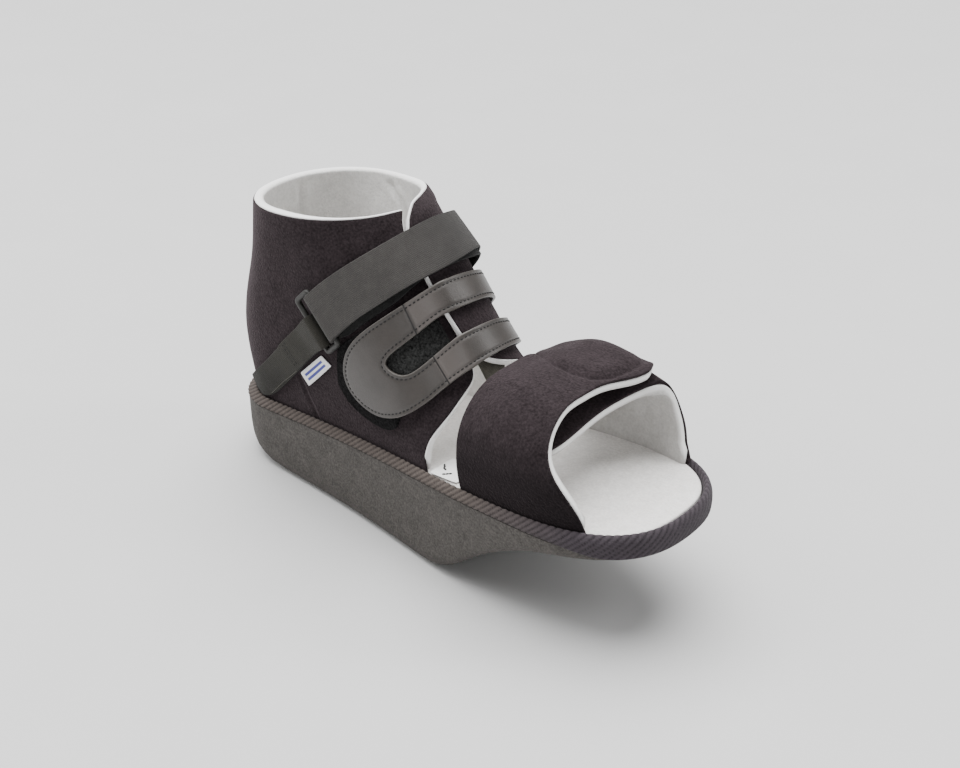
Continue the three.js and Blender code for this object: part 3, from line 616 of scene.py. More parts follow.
def close_collar(piece):
    """Draws the top of the wall in on the far front side, where the strap pulls it to the ankle."""
    co = points_of(piece)
    draw = np.interp(co[:, 2], COLLAR_AT, COLLAR_BY)
    side = part((co - COLLAR_MIDDLE) @ COLLAR_SIDE - COLLAR_FROM, COLLAR_RUN)
    co -= COLLAR_SIDE * (draw * side)[:, None]
    move_to(piece, co)


felt, tree, shader = new_material("charcoal_felt")
fibres = speckle(tree, 1.2, 9.0, 0.72)
high_tint = tint(tree, fibres["Tone"], *FELT_TONES)
painted_shade_tint = tint(tree, fibres["Tone"], *FELT_PAINTED_SHADE_TONES)
# Painted shade: where a piece stores a painted shade, the felt turns to its darker tones.
felt_tint = tint(tree, stored(tree, "painted_shade"), high_tint, painted_shade_tint)
set_surface(shader, felt_tint, roughness=0.95, specular=0.05, sheen=0.17, sheen_roughness=0.45)
shader.inputs["Sheen Tint"].default_value = FELT_SHEEN
relief(shader, fibres["Height"], 0.35 * MM, 0.6)

rear_felt = copy_of("rear_upper", "rear_felt")
draw_on(rear_felt, NEAR_END, reach=3, shift=NEAR_END_SHIFT)
seat(rear_felt, FELT_SEAT)
cut_back(rear_felt, ANKLE_MIDDLE, FELT_CUT)
soften(rear_felt, FELT_EDGE, 1, 3)
press(rear_felt, QUARTER_SEAM, width=1.1 * MM, depth=0.8 * MM, lift=0.1 * MM)
close_collar(rear_felt)
stand_for(rear_felt, "rear_upper", felt)

rear_foam = copy_of("rear_lining", "rear_foam")
draw_on(rear_foam, NEAR_END_FOAM, reach=4, shift=NEAR_END_SHIFT)
seat(rear_foam, FOAM_SEAT)
round_foam(rear_foam, ANKLE_MIDDLE, FOAM_ROLL)
press(rear_foam, HEEL_CREASE, width=1.6 * MM, depth=1.8 * MM, lift=0.9 * MM)
press(rear_foam, FAR_CREASE, width=1.5 * MM, depth=1.8 * MM, lift=0.9 * MM)
close_collar(rear_foam)
stand_for(rear_foam, "rear_lining", pale_cloth("lining_cloth", *LINING_TONES))

# Forefoot flaps: two felt flaps on the same foam, cemented under the footbed edge.
# The near flap wraps over the far one and ends in a sewn pad of hook tape, seen as a raised D.
TOE_MIDDLE = (75 * MM, 0, 70 * MM)
FLAP_CUT = 0.3 * MM
FLAP_ROLL = 0.35 * MM
FLAP_CORNERS = [Vector((96, 31, 107)) * MM, Vector((89.3, 37.6, 104.7)) * MM]
CORNER_RADIUS = 4.2 * MM
CORNER_LONGEST, CORNER_TURN = 5 * MM, math.radians(25)
TUCK, TUCK_HEIGHT = 3.2 * MM, 18 * MM
TUCK_BEFORE, TUCK_RUN = 62 * MM, 24 * MM
SINK_AT = np.array([-30, -20, 0, 20, 27, 40]) * MM
SINK_BY = np.array([13, 12.5, 8.5, 5, 2, 0]) * MM
SINK_FROM, SINK_RUN, SINK_LEAST = 45 * MM, 35 * MM, 0.2
SINK_FREE, SINK_IN = 5 * MM, 0.25
SHOULDER_AT = np.array([24, 28, 33, 37, 42]) * MM
SHOULDER_BY = np.array([0, 1.2, 6, 5, 0]) * MM
SHOULDER_FROM, SHOULDER_RUN = 80 * MM, 8 * MM
FILL_FELT, FILL_FOAM = 2.4 * MM, 3.2 * MM
FILL_HEIGHT, FILL_FROM, FILL_RUN = 9 * MM, 98 * MM, 8 * MM
TIP_AT = np.array([94, 33.5]) * MM
TIP_LIFT, TIP_REACH = 2.2 * MM, 8 * MM
REAR_DIP = 5 * MM
DIP_BEFORE, DIP_RUN = 60 * MM, 20 * MM
DIP_NEAR, DIP_NEAR_RUN = 7 * MM, 13 * MM
DIP_FAR, DIP_FAR_RUN = 38 * MM, 10 * MM
DIP_ABOVE, DIP_ABOVE_RUN = 90 * MM, 8 * MM
PAD_SEAM = [(38, 12), (43.3, 9.4), (52.6, 3.7), (62.1, -1.4), (73.3, -2.4), (81.9, 1), (87.3, 8.6),
            (89.5, 19.9), (90, 28), (87.5, 35)]
PAD_FAR_EDGE = [(82, 38.6), (60, 40), (38, 39)]
PAD_FRONT = PAD_SEAM[:9]
PAD_END = PAD_SEAM[7:] + PAD_FAR_EDGE[:1]
PAD_PUFF, PAD_ROUND = 1.5 * MM, 4 * MM
PAD_GROOVE, GROOVE_WIDTH = 0.75 * MM, 1.1 * MM
TOP_SIDE = 0.3
SHADE_BELOW, SHADE_RUN = 38 * MM, 20 * MM
TOE_LINING_SHADED_TONES = (0.42, 0.41, 0.395), (0.6, 0.59, 0.575), (0.88, 0.875, 0.86)


def round_corner(piece, corner):
    """Rounds the corner of a sheet by its short edge nearest to a place."""
    bm = mesh_of(piece)
    rims = {v: sum(e.calc_face_angle(0) > SHARP for e in v.link_edges) for v in bm.verts}
    short = [e for e in bm.edges if e.calc_length() < CORNER_LONGEST and e.calc_face_angle(0) > CORNER_TURN
             and all(rims[v] > 1 for v in e.verts)]
    index = min(short, key=lambda e: ((e.verts[0].co + e.verts[1].co) / 2 - corner).length).index
    bm.free()
    choose_edges(piece, lambda edge: edge.index == index)
    bpy.ops.mesh.bevel(offset=CORNER_RADIUS, segments=4, affect="EDGES", clamp_overlap=False)
    mode("OBJECT")


@moves
def tuck_heel_corner(x, y, z):
    """Draws the flap's lower rear corner forward, so its rear edge curves in to the tape."""
    low = np.clip(1 - (z - bed_at(x)) / TUCK_HEIGHT, 0, 1) ** 2
    x += np.where(y < 0, TUCK * low * part(TUCK_BEFORE - x, TUCK_RUN), 0)


@moves
def sink_under(x, y, z):
    """Lets the far flap lie slack under the near one, so a dark gap opens between their edges."""
    fall = np.interp(y, SINK_AT, SINK_BY)
    front = np.clip((x - SINK_FROM) / SINK_RUN, SINK_LEAST, 1)
    z -= fall * front
    high = part(z - SHOULDER_FROM, SHOULDER_RUN)
    z += np.interp(y, SHOULDER_AT, SHOULDER_BY) * front * high
    y -= SINK_IN * np.maximum(fall - SINK_FREE, 0) * front


@moves
def fill_corner(x, y, z, amount):
    """Brings the lower front corner of the far flap forward."""
    low = part(bed_at(x) + FILL_HEIGHT - z, FILL_HEIGHT)
    x += amount * low * part(x - FILL_FROM, FILL_RUN)


def lift_tip(piece):
    """Raises the end of the near flap a little, where the pad stiffens it."""
    co = points_of(piece)
    gap = np.linalg.norm(co[:, :2] - TIP_AT, axis=1)
    co[:, 2] += TIP_LIFT * np.exp(-((gap / TIP_REACH) ** 2))
    move_to(piece, co)


@moves
def dip_rear(x, y, z):
    """Lets the top of a flap fall a little at its rear edge, behind the pad."""
    back = part(DIP_BEFORE - x, DIP_RUN)
    middle = part(y - DIP_NEAR, DIP_NEAR_RUN) * part(DIP_FAR - y, DIP_FAR_RUN)
    high = part(z - DIP_ABOVE, DIP_ABOVE_RUN)
    z -= REAR_DIP * back * back * (3 - 2 * back) * middle * high


def flap_of(node, name, amount):
    """A flap's felt or foam, fallen a little at the rear and seated in the tape."""
    piece = copy_of(node, name)
    dip_rear(piece)
    seat(piece, amount)
    return piece


near_felt = flap_of("toe_near_outer", "near_flap_felt", FELT_SEAT)
cut_back(near_felt, TOE_MIDDLE, FLAP_CUT)
for corner in FLAP_CORNERS:
    round_corner(near_felt, corner)
soften(near_felt, FELT_EDGE, 2, 3)
tuck_heel_corner(near_felt)
flap_at = points_of(near_felt)
flap_up = normals_of(near_felt)
pad_line = [(x * MM, y * MM, 0) for x, y in PAD_SEAM + PAD_FAR_EDGE]
seam_gap, _, _ = along_line(flap_at * (1, 1, 0), pad_line[:len(PAD_SEAM)])
edge_gap, _, _ = along_line(flap_at * (1, 1, 0), pad_line)
seam_x, seam_y = np.array(PAD_FRONT).T * MM
side_x, side_y = np.array(PAD_END).T * MM
front_y = np.interp(flap_at[:, 0], seam_x, seam_y)
end_x = np.interp(flap_at[:, 1], side_y, side_x)
top_side = flap_up[:, 2] > TOP_SIDE
inside_pad = top_side & (flap_at[:, 1] > front_y) & (flap_at[:, 0] < end_x)
puff = np.where(inside_pad, PAD_PUFF * (1 - np.exp(-(edge_gap / PAD_ROUND) ** 2)), 0)
sink = np.where(top_side, PAD_GROOVE * np.exp(-(seam_gap / GROOVE_WIDTH) ** 2), 0)
move_to(near_felt, flap_at + flap_up * (puff - sink)[:, None])
lift_tip(near_felt)
flap_at = points_of(near_felt)
# Painted shade: the near flap's felt is painted darker towards its lower edge.
store(near_felt, "painted_shade", part(bed_at(flap_at[:, 0]) + SHADE_BELOW - flap_at[:, 2], SHADE_RUN))
stand_for(near_felt, "toe_near_outer", felt)

# Painted shade: the toe lining's cloth tones are the ankle lining's at about 0.7, for the shade inside the flaps.
shaded_toe_cloth = pale_cloth("toe_lining_cloth_shaded", *TOE_LINING_SHADED_TONES)
near_foam = flap_of("toe_near_lining", "near_flap_foam", FOAM_SEAT)
for corner in FLAP_CORNERS:
    round_corner(near_foam, corner)
round_foam(near_foam, TOE_MIDDLE, FLAP_ROLL)
tuck_heel_corner(near_foam)
lift_tip(near_foam)
stand_for(near_foam, "toe_near_lining", shaded_toe_cloth)

far_felt = flap_of("toe_far_outer", "far_flap_felt", FELT_SEAT)
cut_back(far_felt, TOE_MIDDLE, FLAP_CUT)
sink_under(far_felt)
soften(far_felt, FELT_EDGE, 2, 2)
fill_corner(far_felt, FILL_FELT)
stand_for(far_felt, "toe_far_outer", felt)

far_foam = flap_of("toe_far_lining", "far_flap_foam", FOAM_SEAT)
sink_under(far_foam)
round_foam(far_foam, TOE_MIDDLE, FLAP_ROLL)
fill_corner(far_foam, FILL_FOAM)
stand_for(far_foam, "toe_far_lining", shaded_toe_cloth)

# Heel tab: a band of olive webbing, sewn in at the sole edge and folded round the ring.
# Two rows of dark thread hold the fold, and a raised row of olive thread runs along its lower edge.
WEBBING_EDGE = 0.4 * MM
FUZZ_SHARE = 0.55
PAINTED_SHADE_TONE = (0.62, 0.62, 0.62)
TAB_TONES = (0.0138, 0.013, 0.0106), (0.0425, 0.0398, 0.033)
TAB_SHADE_BELOW, TAB_SHADE_RUN = 72 * MM, 16 * MM
TAB_SEAM = np.array([(-80.8, -41.6, 87), (-76.7, -41.1, 81.8), (-72.4, -40.5, 76.3)]) * MM
TAB_WAY = np.array((-0.67, 0.09, -0.74))
TAB_ROWS = [TAB_SEAM, TAB_SEAM + TAB_WAY * 2.8 * MM]
TAB_SELVEDGE = np.array([(-100.5, -35.8, 46.3), (-88.7, -36.5, 58.5), (-75.5, -39.6, 70.5)]) * MM
TAB_STITCH = 2.2 * MM, 1.6 * MM, 0.55 * MM
SELVEDGE_STITCH = 1.7 * MM, 2.1 * MM, 0.5 * MM
STITCH_FLAT, STITCH_UP = 0.7, 0.12
THREAD_TONES = (0.003, 0.003, 0.003), (0.012, 0.011, 0.01)
OLIVE_TONES = (0.05, 0.047, 0.04), (0.1, 0.094, 0.08)


def number_faces(side):
    """Numbers the points of a side in rows and columns, from face to face."""
    start = min((f for f in side if len(f.verts) == 4), key=lambda f: f.index)
    grid = dict(zip(start.verts, [(0, 0), (1, 0), (1, 1), (0, 1)]))
    seen = {start}
    queue = [start]
    while queue:
        face = queue.pop()
        for loop in face.loops:
            for other in loop.edge.link_faces:
                if other in seen or other not in side or len(other.verts) != 4:
                    continue
                middle = [(grid[loop.vert][k] + grid[loop.link_loop_next.vert][k]) / 2 for k in (0, 1)]
                centre = [sum(grid[v][k] for v in face.verts) / 4 for k in (0, 1)]
                out = [round(2 * (middle[k] - centre[k])) for k in (0, 1)]
                mine = next(x for x in other.loops if x.edge == loop.edge)
                for start_at, far in ((mine.vert, mine.link_loop_prev.vert),
                                      (mine.link_loop_next.vert, mine.link_loop_next.link_loop_next.vert)):
                    grid[far] = (grid[start_at][0] + out[0], grid[start_at][1] + out[1])
                seen.add(other)
                queue.append(other)
    return grid


def lay_flat(piece):
    """Gives a band a flat map in metres, and hands back each point's place along it and across it and its side."""
    bm = mesh_of(piece)
    flat = bm.loops.layers.uv.new("flat")
    left = set(bm.faces)
    where = {}
    broad = []
    while left:
        side = smooth_side(max(left, key=lambda f: (f.calc_area(), f.index)))
        left -= side
        broad.append(side)
    broad.sort(key=lambda side: -sum(f.calc_area() for f in side))
    for number, side in enumerate(broad[:2]):
        grid = number_faces(side)
        spaces = [{}, {}]
        for edge in sorted({e for f in side for e in f.edges}, key=lambda e: e.index):
            a, b = (grid.get(v) for v in edge.verts)
            if a is None or b is None:
                continue
            for k in (0, 1):
                if abs(a[k] - b[k]) == 1 and a[1 - k] == b[1 - k]:
                    spaces[k].setdefault(min(a[k], b[k]), []).append(edge.calc_length())
        place = []
        for gaps in spaces:
            place.append({min(gaps): 0.0})
            for i in sorted(gaps):
                place[-1][i + 1] = place[-1][i] + sum(gaps[i]) / len(gaps[i])
        along, across = (0, 1) if len(spaces[0]) >= len(spaces[1]) else (1, 0)
        for v, g in grid.items():
            where[v] = (place[along][g[along]], place[across][g[across]], number)
    for face in bm.faces:
        for loop in face.loops:
            loop[flat].uv = where.get(loop.vert, (0, 0, 0))[:2]
    laid = np.array([where.get(v, (0, 0, 0)) for v in bm.verts])
    bm.to_mesh(piece.data)
    bm.free()
    return laid


def flat_place(tree):
    """The flat map's place along a band, X, and across it, Y."""
    flat = new_node(tree, "ShaderNodeUVMap", uv_map="flat").outputs["UV"]
    return new_node(tree, "ShaderNodeSeparateXYZ", {"Vector": flat}).outputs


# Plain weave of webbing: ribs along it and finer threads across it, both in millimetres
weave = bpy.data.node_groups.new("webbing_weave", "ShaderNodeTree")
add_sockets(weave, "INPUT", "Rib mm", "Thread mm")
add_sockets(weave, "OUTPUT", "Height")
weave_in = new_node(weave, "NodeGroupInput").outputs
weave_at = flat_place(weave)


def weave_turn(axis, pitch_name):
    """Angle along one way of the flat map, half a turn for each pitch."""
    return calc(weave, "DIVIDE", weave_at[axis], calc(weave, "MULTIPLY", weave_in[pitch_name], MM / math.pi))


rib_wave = calc(weave, "SINE", weave_turn("Y", "Rib mm"))
rib_shift = calc(weave, "MULTIPLY", calc(weave, "SIGN", rib_wave), math.pi / 4)
thread_wave = calc(weave, "SINE", calc(weave, "ADD", weave_turn("X", "Thread mm"), rib_shift))
weave_height = calc(weave, "MULTIPLY", calc(weave, "ABSOLUTE", rib_wave), calc(weave, "ABSOLUTE", thread_wave))
new_node(weave, "NodeGroupOutput", {"Height": weave_height})


def webbing(name, tones, rib_mm, thread_mm, under=None):
    """Woven webbing, other tones on the layer that lies under, and a painted shade, a darker tone, where a piece
    stores it.
    """
    material, tree, shader = new_material(name)
    sizes = {"Rib mm": rib_mm, "Thread mm": thread_mm}
    ribs = new_node(tree, "ShaderNodeGroup", sizes, node_tree=weave).outputs["Height"]
    fuzz = speckle(tree, 0.6, 7.0, 0.6)["Tone"]
    colour = tint(tree, blend(tree, FUZZ_SHARE, ribs, fuzz), *tones)
    if under is not None:
        colour = tint(tree, stored(tree, "under"), colour, tint(tree, fuzz, *under))
    # Painted shade: darker where the piece stores its painted shade.
    colour = tint(tree, stored(tree, "webbing_painted_shade"), colour, PAINTED_SHADE_TONE, "MULTIPLY")
    set_surface(shader, colour, roughness=0.85, specular=0.2, sheen=0.05)
    relief(shader, ribs, 0.22 * MM, 0.6)
    return material


def spaced(line, pitch):
    """Points and directions at an even pitch along a line of points."""
    step = np.linalg.norm(np.diff(line, axis=0), axis=1)
    run = np.concatenate([[0], np.cumsum(step)])
    count = max(2, int(run[-1] / pitch))
    at = (np.arange(count) + 0.5) / count * run[-1]
    points, ahead, behind = (np.stack([np.interp(place, run, row) for row in line.T], 1)
                             for place in (at, at + pitch / 4, at - pitch / 4))
    return points, ahead - behind


def sew(name, carrier, lines, stitch, material):
    """Rows of stitches of a pitch, a length and a thickness, lying in the surface of a piece along lines."""
    pitch, long, thick = stitch
    bpy.ops.mesh.primitive_uv_sphere_add(segments=6, ring_count=4, radius=0.5)
    one = bpy.context.object
    shape = points_of(one)
    corners = [tuple(p.vertices) for p in one.data.polygons]
    bpy.data.objects.remove(one, do_unlink=True)
    verts, faces = [], []
    for line in lines:
        for point, way in zip(*spaced(np.asarray(line), pitch)):
            _, spot, normal, _ = carrier.closest_point_on_mesh(Vector(point))
            way = Vector(way)
            way = (way - normal * way.dot(normal)).normalized()
            side = normal.cross(way)
            start = len(verts)
            for x, y, z in shape:
                out = z * thick * STITCH_FLAT + thick * STITCH_UP
                verts.append(spot + way * (x * long) + side * (y * thick) + normal * out)
            faces += [tuple(start + i for i in corner) for corner in corners]
    mesh = bpy.data.meshes.new(name)
    mesh.from_pydata(verts, [], faces, shade_flat=False)
    piece = bpy.data.objects.new(name, mesh)
    bpy.context.collection.objects.link(piece)
    mesh.materials.append(material)
    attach(piece, "root")


heel_tab = copy_of("heel_tab", "heel_tab_webbing")
lay_flat(heel_tab)
soften(heel_tab, WEBBING_EDGE, 2, 2)
# Painted shade: the tab is painted darker towards its foot.
store(heel_tab, "webbing_painted_shade", part(TAB_SHADE_BELOW - points_of(heel_tab)[:, 2], TAB_SHADE_RUN))
stand_for(heel_tab, "heel_tab", webbing("olive_webbing", TAB_TONES, 0.8, 0.7))
thread = speckled("dark_thread", (0.25, 2.0, 0.7), THREAD_TONES, (0.08 * MM, 0.5), roughness=0.7)
sew("tab_stitching", heel_tab, TAB_ROWS, TAB_STITCH, thread)
olive_thread = speckled("olive_thread", (0.3, 2.0, 0.6), OLIVE_TONES, (0.08 * MM, 0.5), roughness=0.8)
sew("tab_selvedge", heel_tab, [TAB_SELVEDGE], SELVEDGE_STITCH, olive_thread)

# Strap ring: a flat rectangular loop of dark plastic, moulded in one piece with rounded edges.
# It hangs in the fold of the heel tab, and the ankle strap goes through it.
RING_EDGE = 0.25 * MM
RING_TONES = (0.009, 0.0088, 0.0075), (0.019, 0.0184, 0.016)
ring = soften(copy_of("strap_ring", "strap_ring_plastic"), RING_EDGE, 2, 2)
ring_plastic = speckled("ring_plastic", (0.4, 6.0, 0.5), RING_TONES, (0.05 * MM, 0.4), roughness=0.5)
stand_for(ring, "strap_ring", ring_plastic)

# Ankle strap: grey webbing with a black side, sewn in at the far sole edge. It comes over the instep,
# goes through the ring and folds back on itself. Both layers are drawn in at the lower edge near the ring,
# and the black under one shows below the grey one.
STRAP_TONES = (0.0338, 0.0318, 0.0303), (0.0818, 0.0766, 0.0724)
STRAP_UNDER_TONES = (0.001, 0.001, 0.001), (0.014, 0.0145, 0.014)
STRAP_NEAR = -35 * MM
UNDER_FROM, UNDER_PAST = -5 * MM, 8 * MM
SAME_ROW = 0.02 * MM
DRAW_AT = np.array([3, 10, 20, 30, 42, 55, 68, 77]) * MM
DRAW_BY = np.array([0, 1.8, 3.4, 3.5, 2.6, 1.9, 0.7, 0]) * MM
UNDER_AT = np.array([3, 14, 50, 58, 82, 92, 125, 150]) * MM
UNDER_BY = np.array([0, 3.6, 3.6, 0.2, 0.2, 3.2, 3.2, 0]) * MM
STRAP_SHADE_FROM, STRAP_SHADE_RUN = 18 * MM, 24 * MM
ankle_strap = copy_of("ankle_strap", "ankle_strap_webbing")
strap_flat = lay_flat(ankle_strap)
strap_at = points_of(ankle_strap)
from_fold = np.zeros(len(strap_at))
for side in (0, 1):
    mine = np.flatnonzero(strap_flat[:, 2] == side)
    run = strap_flat[mine, 0]
    if strap_at[mine[run.argmin()], 2] > strap_at[mine[run.argmax()], 2]:
        run = run.max() - run
    near_side = strap_at[mine, 1] < STRAP_NEAR
    from_fold[mine] = run - run[near_side][strap_at[mine][near_side, 0].argmin()]
under = (from_fold > -from_fold.max() - UNDER_PAST) & (from_fold < UNDER_FROM)
store(ankle_strap, "under", under)
strap_new = strap_at.copy()
for i, point in enumerate(strap_at):
    row = strap_at[(strap_flat[:, 2] == strap_flat[i, 2]) & (np.abs(from_fold - from_fold[i]) < SAME_ROW)]
    top = row[row[:, 2].argmax()]
    down = row[row[:, 2].argmin()] - top
    wide = np.linalg.norm(down)
    down /= wide
    away = abs(from_fold[i])
    share = (point - top) @ down / wide
    shift = -share * np.interp(away, DRAW_AT, DRAW_BY) + under[i] * np.interp(away, UNDER_AT, UNDER_BY)
    strap_new[i] += down * shift
move_to(ankle_strap, strap_new)
soften(ankle_strap, WEBBING_EDGE, 2, 2)
# Painted shade: the strap is painted darker towards the far side, where it bends over.
store(ankle_strap, "webbing_painted_shade", part(points_of(ankle_strap)[:, 1] + STRAP_SHADE_FROM, STRAP_SHADE_RUN))
strap_weave = webbing("grey_webbing", STRAP_TONES, 0.9, 0.7, STRAP_UNDER_TONES)
stand_for(ankle_strap, "ankle_strap", strap_weave)

# Pile patch: a piece of black loop pile sewn flat on the felt, for the hooks of the leather strap.
# It shows in the strap's slot and as a narrow margin round its closed end, where the pile is painted darker still as
# painted shade.
PATCH_EDGE = 0.3 * MM
PATCH_FROM = np.array((-27, 93)) * MM
PATCH_RUN = np.array((7, 6)) * MM
PATCH_WAY = np.array((0.3, 1, 0.3))
PATCH_REACH = 7.5 * MM
PATCH_HIGHEST = 0.9 * MM
LOOP_TURNS = 5200, 2600, 4700
LOOP_HEIGHT = 0.14 * MM
SLOT_LINE = np.array([(-12, -35.2, 96.4), (-3.2, -27.7, 104.2), (2, -20.7, 108.8), (16, 0, 118)]) * MM
SLOT_HALF, MARGIN_RUN = 9 * MM, 4 * MM
PILE_TONES = (0.001, 0.001, 0.001), (0.05, 0.051, 0.05)
MARGIN_SHADE_TONE = (0.36, 0.34, 0.36)
pile_patch = copy_of("loop_patch", "black_pile_patch")
patch_at = points_of(pile_patch)
for i, point in enumerate(patch_at):
    share = np.prod(part(point[1:] - PATCH_FROM, PATCH_RUN))
    if share > 0:
        _, spot, normal, _ = rear_felt.closest_point_on_mesh(Vector(point))
        height = (Vector(point) - spot).dot(normal)
        _, spot, normal, _ = rear_felt.closest_point_on_mesh(Vector(point + PATCH_WAY * PATCH_REACH * share))
        patch_at[i] = spot + normal * min(height, PATCH_HIGHEST)
move_to(pile_patch, patch_at)
soften(pile_patch, PATCH_EDGE, 1, 3)
pile_at = points_of(pile_patch)
turn_x, turn_y, turn_z = (pile_at * LOOP_TURNS).T
loops = np.sin(turn_x) * np.sin(turn_z + turn_y)
move_to(pile_patch, pile_at + normals_of(pile_patch) * (LOOP_HEIGHT * loops)[:, None])
slot_gap, _, _ = along_line(pile_at, SLOT_LINE)
# Painted shade: the pile away from the slot is painted darker.
store(pile_patch, "margin_painted_shade", part(slot_gap - SLOT_HALF, MARGIN_RUN))
pile, tree, shader = new_material("black_pile")
loop_spots = speckle(tree, 1.2, 4.0, 0.85)
slot_tint = tint(tree, loop_spots["Tone"], *PILE_TONES)
pile_tint = tint(tree, stored(tree, "margin_painted_shade"), slot_tint, MARGIN_SHADE_TONE, "MULTIPLY")
set_surface(shader, pile_tint, roughness=0.85, specular=0.08)
relief(shader, loop_spots["Height"], 0.6 * MM, 1.0)
stand_for(pile_patch, "loop_patch", pile)

# Instep strap: a U of synthetic leather over the black pile, its two arms sewn down on the far side.
# The edges are turned and sewn 2 mm in with dark thread, and a seam crosses each arm.
LEATHER_EDGE = 0.55 * MM
LEATHER_HEM = 2.1 * MM
HEM_STITCH = 2.4 * MM, 1.7 * MM, 0.76 * MM
LEATHER_MIDDLE = (-20 * MM, 0, 90 * MM)
UPPER_SEAM = [(-12.2, -24.8, 126.2), (-10.9, -24.8, 124.5), (-6.9, -24.9, 119.1), (-2.8, -25.2, 113.7),
              (-1.4, -25.2, 111.8)]
LOWER_SEAM = [(6, -23.9, 105), (7.5, -23.9, 103.5), (11.6, -24.1, 99.1), (16.1, -24.1, 94.9), (18, -24.1, 93)]
UPPER_RIDGE = [(-3, -9.2, 136), (-1.4, -9.2, 134.1), (1.1, -9.1, 131.3), (3.8, -9.3, 128), (6.7, -9.6, 124.4),
               (8, -9.8, 122.6)]
LOWER_RIDGE = [(13.6, -12.9, 114.3), (15.5, -12.9, 112.2), (18, -12.9, 109.4), (21, -13.4, 105.8),
               (23.3, -13.8, 103.1), (25, -14, 101)]
TURNED_EDGE = 2.2 * MM
TURN_LEVELS = 0.1, 0.32
ARM_FROM, ARM_START, ARM_END, ARM_FADE = -24.5 * MM, 0.5 * MM, 14 * MM, 9 * MM
ARM_FACING = Vector((0.6, -0.62, 0.5))
SEAM_OUTER, SEAM_INNER, SEAM_REACH = 0.5 * MM, 0.2 * MM, 12 * MM
HIDE_TONES = (0.039, 0.0345, 0.0315), (0.056, 0.049, 0.045)
ARM_HIGHLIGHT_TONE = (0.092, 0.08, 0.0745)
EDGE_TONE = (0.085, 0.077, 0.069)
SEAM_TONE = (0.006, 0.005, 0.005)
instep_strap = copy_of("instep_strap", "instep_strap_leather")
strap_edge, strap_inward, _ = edge_of_top(instep_strap, LEATHER_MIDDLE)
hem = strap_edge + strap_inward * LEATHER_HEM
soften(instep_strap, LEATHER_EDGE, 3, 3)
for ridge in (UPPER_RIDGE, LOWER_RIDGE):
    press(instep_strap, ridge, width=3.4 * MM, depth=-0.35 * MM)
press(instep_strap, hem / MM, width=0.75 * MM, depth=0.28 * MM)
for seam in (UPPER_SEAM, LOWER_SEAM):
    press(instep_strap, seam, width=0.6 * MM, depth=0.35 * MM, lift=0.12 * MM)
leather_at = points_of(instep_strap)
turned_gap, _, _ = along_line(leather_at, strap_edge)
store(instep_strap, "edge", part(turned_gap, TURNED_EDGE))
# Painted highlight: each arm is painted lighter just past its seam, fading out towards the ridge, as a soft
# reflection.
past_seam = leather_at[:, 1] - ARM_FROM
store(instep_strap, "arm_highlight", part(past_seam, ARM_START) * part(ARM_END - past_seam, ARM_FADE))


def calc_vector(tree, operation, *terms):
    return new_node(tree, "ShaderNodeVectorMath", dict(enumerate(terms)), operation=operation).outputs


def seam_mask(tree, line):
    """1 on a fine line across an arm of the strap, at a seam given in millimetres."""
    first, last = Vector(line[0]), Vector(line[-1])
    way = (last - first).cross(ARM_FACING).normalized()
    place = new_node(tree, "ShaderNodeTexCoord").outputs["Object"]
    offset = calc_vector(tree, "SUBTRACT", place, (first + last) / 2 * MM)["Vector"]
    gap = calc(tree, "ABSOLUTE", calc_vector(tree, "DOT_PRODUCT", offset, way)["Value"])
    local = calc(tree, "LESS_THAN", calc_vector(tree, "LENGTH", offset)["Value"], SEAM_REACH)
    return calc(tree, "MULTIPLY", ramp(tree, gap, SEAM_OUTER, SEAM_INNER), local)


leather, tree, shader = new_material("warm_grey_leather")
creases = speckle(tree, 0.8, 12.0, 0.35)
hide_tint = tint(tree, creases["Tone"], *HIDE_TONES)
arm_highlight_tint = tint(tree, stored(tree, "arm_highlight"), hide_tint, ARM_HIGHLIGHT_TONE)
edge_tint = tint(tree, ramp(tree, stored(tree, "edge"), *TURN_LEVELS), EDGE_TONE, arm_highlight_tint)
seams = calc(tree, "MAXIMUM", seam_mask(tree, UPPER_SEAM), seam_mask(tree, LOWER_SEAM))
set_surface(shader, tint(tree, seams, edge_tint, SEAM_TONE), roughness=0.37)
relief(shader, creases["Height"], 0.12 * MM, 0.35)
stand_for(instep_strap, "instep_strap", leather)
sew("leather_stitching", instep_strap, [hem], HEM_STITCH, thread)

# Side tag: a small white woven tag folded in under the heel tab.
# Two plain blue stripes are woven into it, clear of its edges.
TAG_LONG = 27.67 * MM
TAG_WIDTH = 8.0 * MM
TAG_EDGE = 0.15 * MM
TAG_TONES = (0.72, 0.72, 0.72), (0.88, 0.88, 0.88)
STRIPE_TONE = (0.06, 0.07, 0.3)


def wave(tree, run, period, low, high):
    """A wave along a run, 0 at one level of it and 1 at another."""
    return ramp(tree, calc(tree, "COSINE", calc(tree, "MULTIPLY", run, 2 * math.pi / period)), low, high)


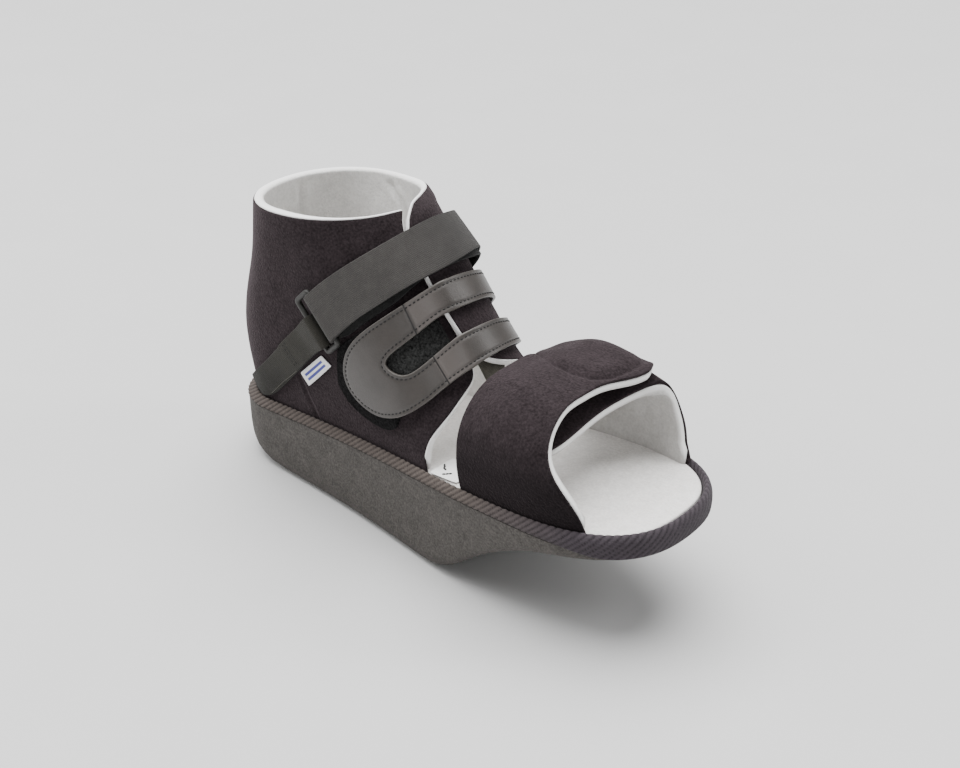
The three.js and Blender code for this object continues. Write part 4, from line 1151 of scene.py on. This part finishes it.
side_tag = copy_of("side_tag", "side_tag_woven")
lay_flat(side_tag)
soften(side_tag, TAG_EDGE, 1, 2)
tag, tree, shader = new_material("white_woven_tag")
tag_at = flat_place(tree)
tag_spots = speckle(tree, 0.35, 3.0, 0.8)
tag_white = tint(tree, tag_spots["Tone"], *TAG_TONES)
two_stripes = wave(tree, tag_at["Y"], TAG_WIDTH / 3, -0.25, 0.1)
side_margin = wave(tree, tag_at["Y"], TAG_WIDTH, 0.3, 0.1)
end_margin = wave(tree, tag_at["X"], TAG_LONG, 0.8, 0.7)
stripe = calc(tree, "MULTIPLY", calc(tree, "MULTIPLY", two_stripes, side_margin), end_margin)
set_surface(shader, tint(tree, stripe, tag_white, STRIPE_TONE), roughness=0.8)
relief(shader, tag_spots["Height"], 0.1 * MM, 0.5)
stand_for(side_tag, "side_tag", tag)

# Instep facing: a short band of olive webbing in the foot of the lap at the instep.
# It is sewn behind the edges of the two panels and closes the gap between them.
FACING_EDGE = 0.35 * MM
FACING_NEAR = -4.6 * MM
FACING_BACK, FACING_ASIDE = 0.85, 0.46
FACING_FROM, FACING_RUN = -3 * MM, 8 * MM
FACING_WIDEN = np.array((0.8 * MM, 6.5 * MM, 0.8 * MM))
FACING_LIT_TONES = (0.042, 0.039, 0.032), (0.122, 0.114, 0.095)
facing = copy_of("instep_facing", "instep_facing_webbing")
lay_flat(facing)
facing_at = points_of(facing)
back = np.maximum(FACING_NEAR - facing_at[:, 1], 0) * FACING_BACK
facing_at[:, 1] += back
facing_at[:, 0] += FACING_ASIDE * back
facing_at += part(facing_at[:, 1] - FACING_FROM, FACING_RUN)[:, None] * FACING_WIDEN
move_to(facing, facing_at)
soften(facing, FACING_EDGE, 2, 2)
# Painted light: the facing's webbing tones are about three times the tab's, to light it where it sits in shade.
stand_for(facing, "instep_facing", webbing("facing_webbing_lit", FACING_LIT_TONES, 0.8, 0.7))

# Size label: a small white cloth label on the footbed at the gap in the near side, close to the tape.
# It is stuck down flat and carries three plain dark tacks.
LABEL_EDGE = 0.12 * MM
LABEL_TO_TAPE = 1.6 * MM
LABEL_TONES = (0.76, 0.75, 0.74), (0.9, 0.9, 0.89)
TACK_STITCH = 1.3 * MM, 1.9 * MM, 1.2 * MM
LABEL_TACKS = np.array([[(20.8, -31.2, 54), (23, -33.4, 54)], [(22.8, -33.8, 54), (25.2, -35, 54)],
                        [(26.5, -39, 54), (30, -35.8, 54)]]) * MM
label = copy_of("size_label", "size_label_cloth")
move_to(label, points_of(label) - (0, LABEL_TO_TAPE, 0))
soften(label, LABEL_EDGE, 1, 1)
label_cloth = speckled("footbed_label", (0.4, 4.0, 0.7), LABEL_TONES, (0.08 * MM, 0.5), roughness=0.75)
stand_for(label, "size_label", label_cloth)
sew("label_tacks", label, LABEL_TACKS, TACK_STITCH, thread)
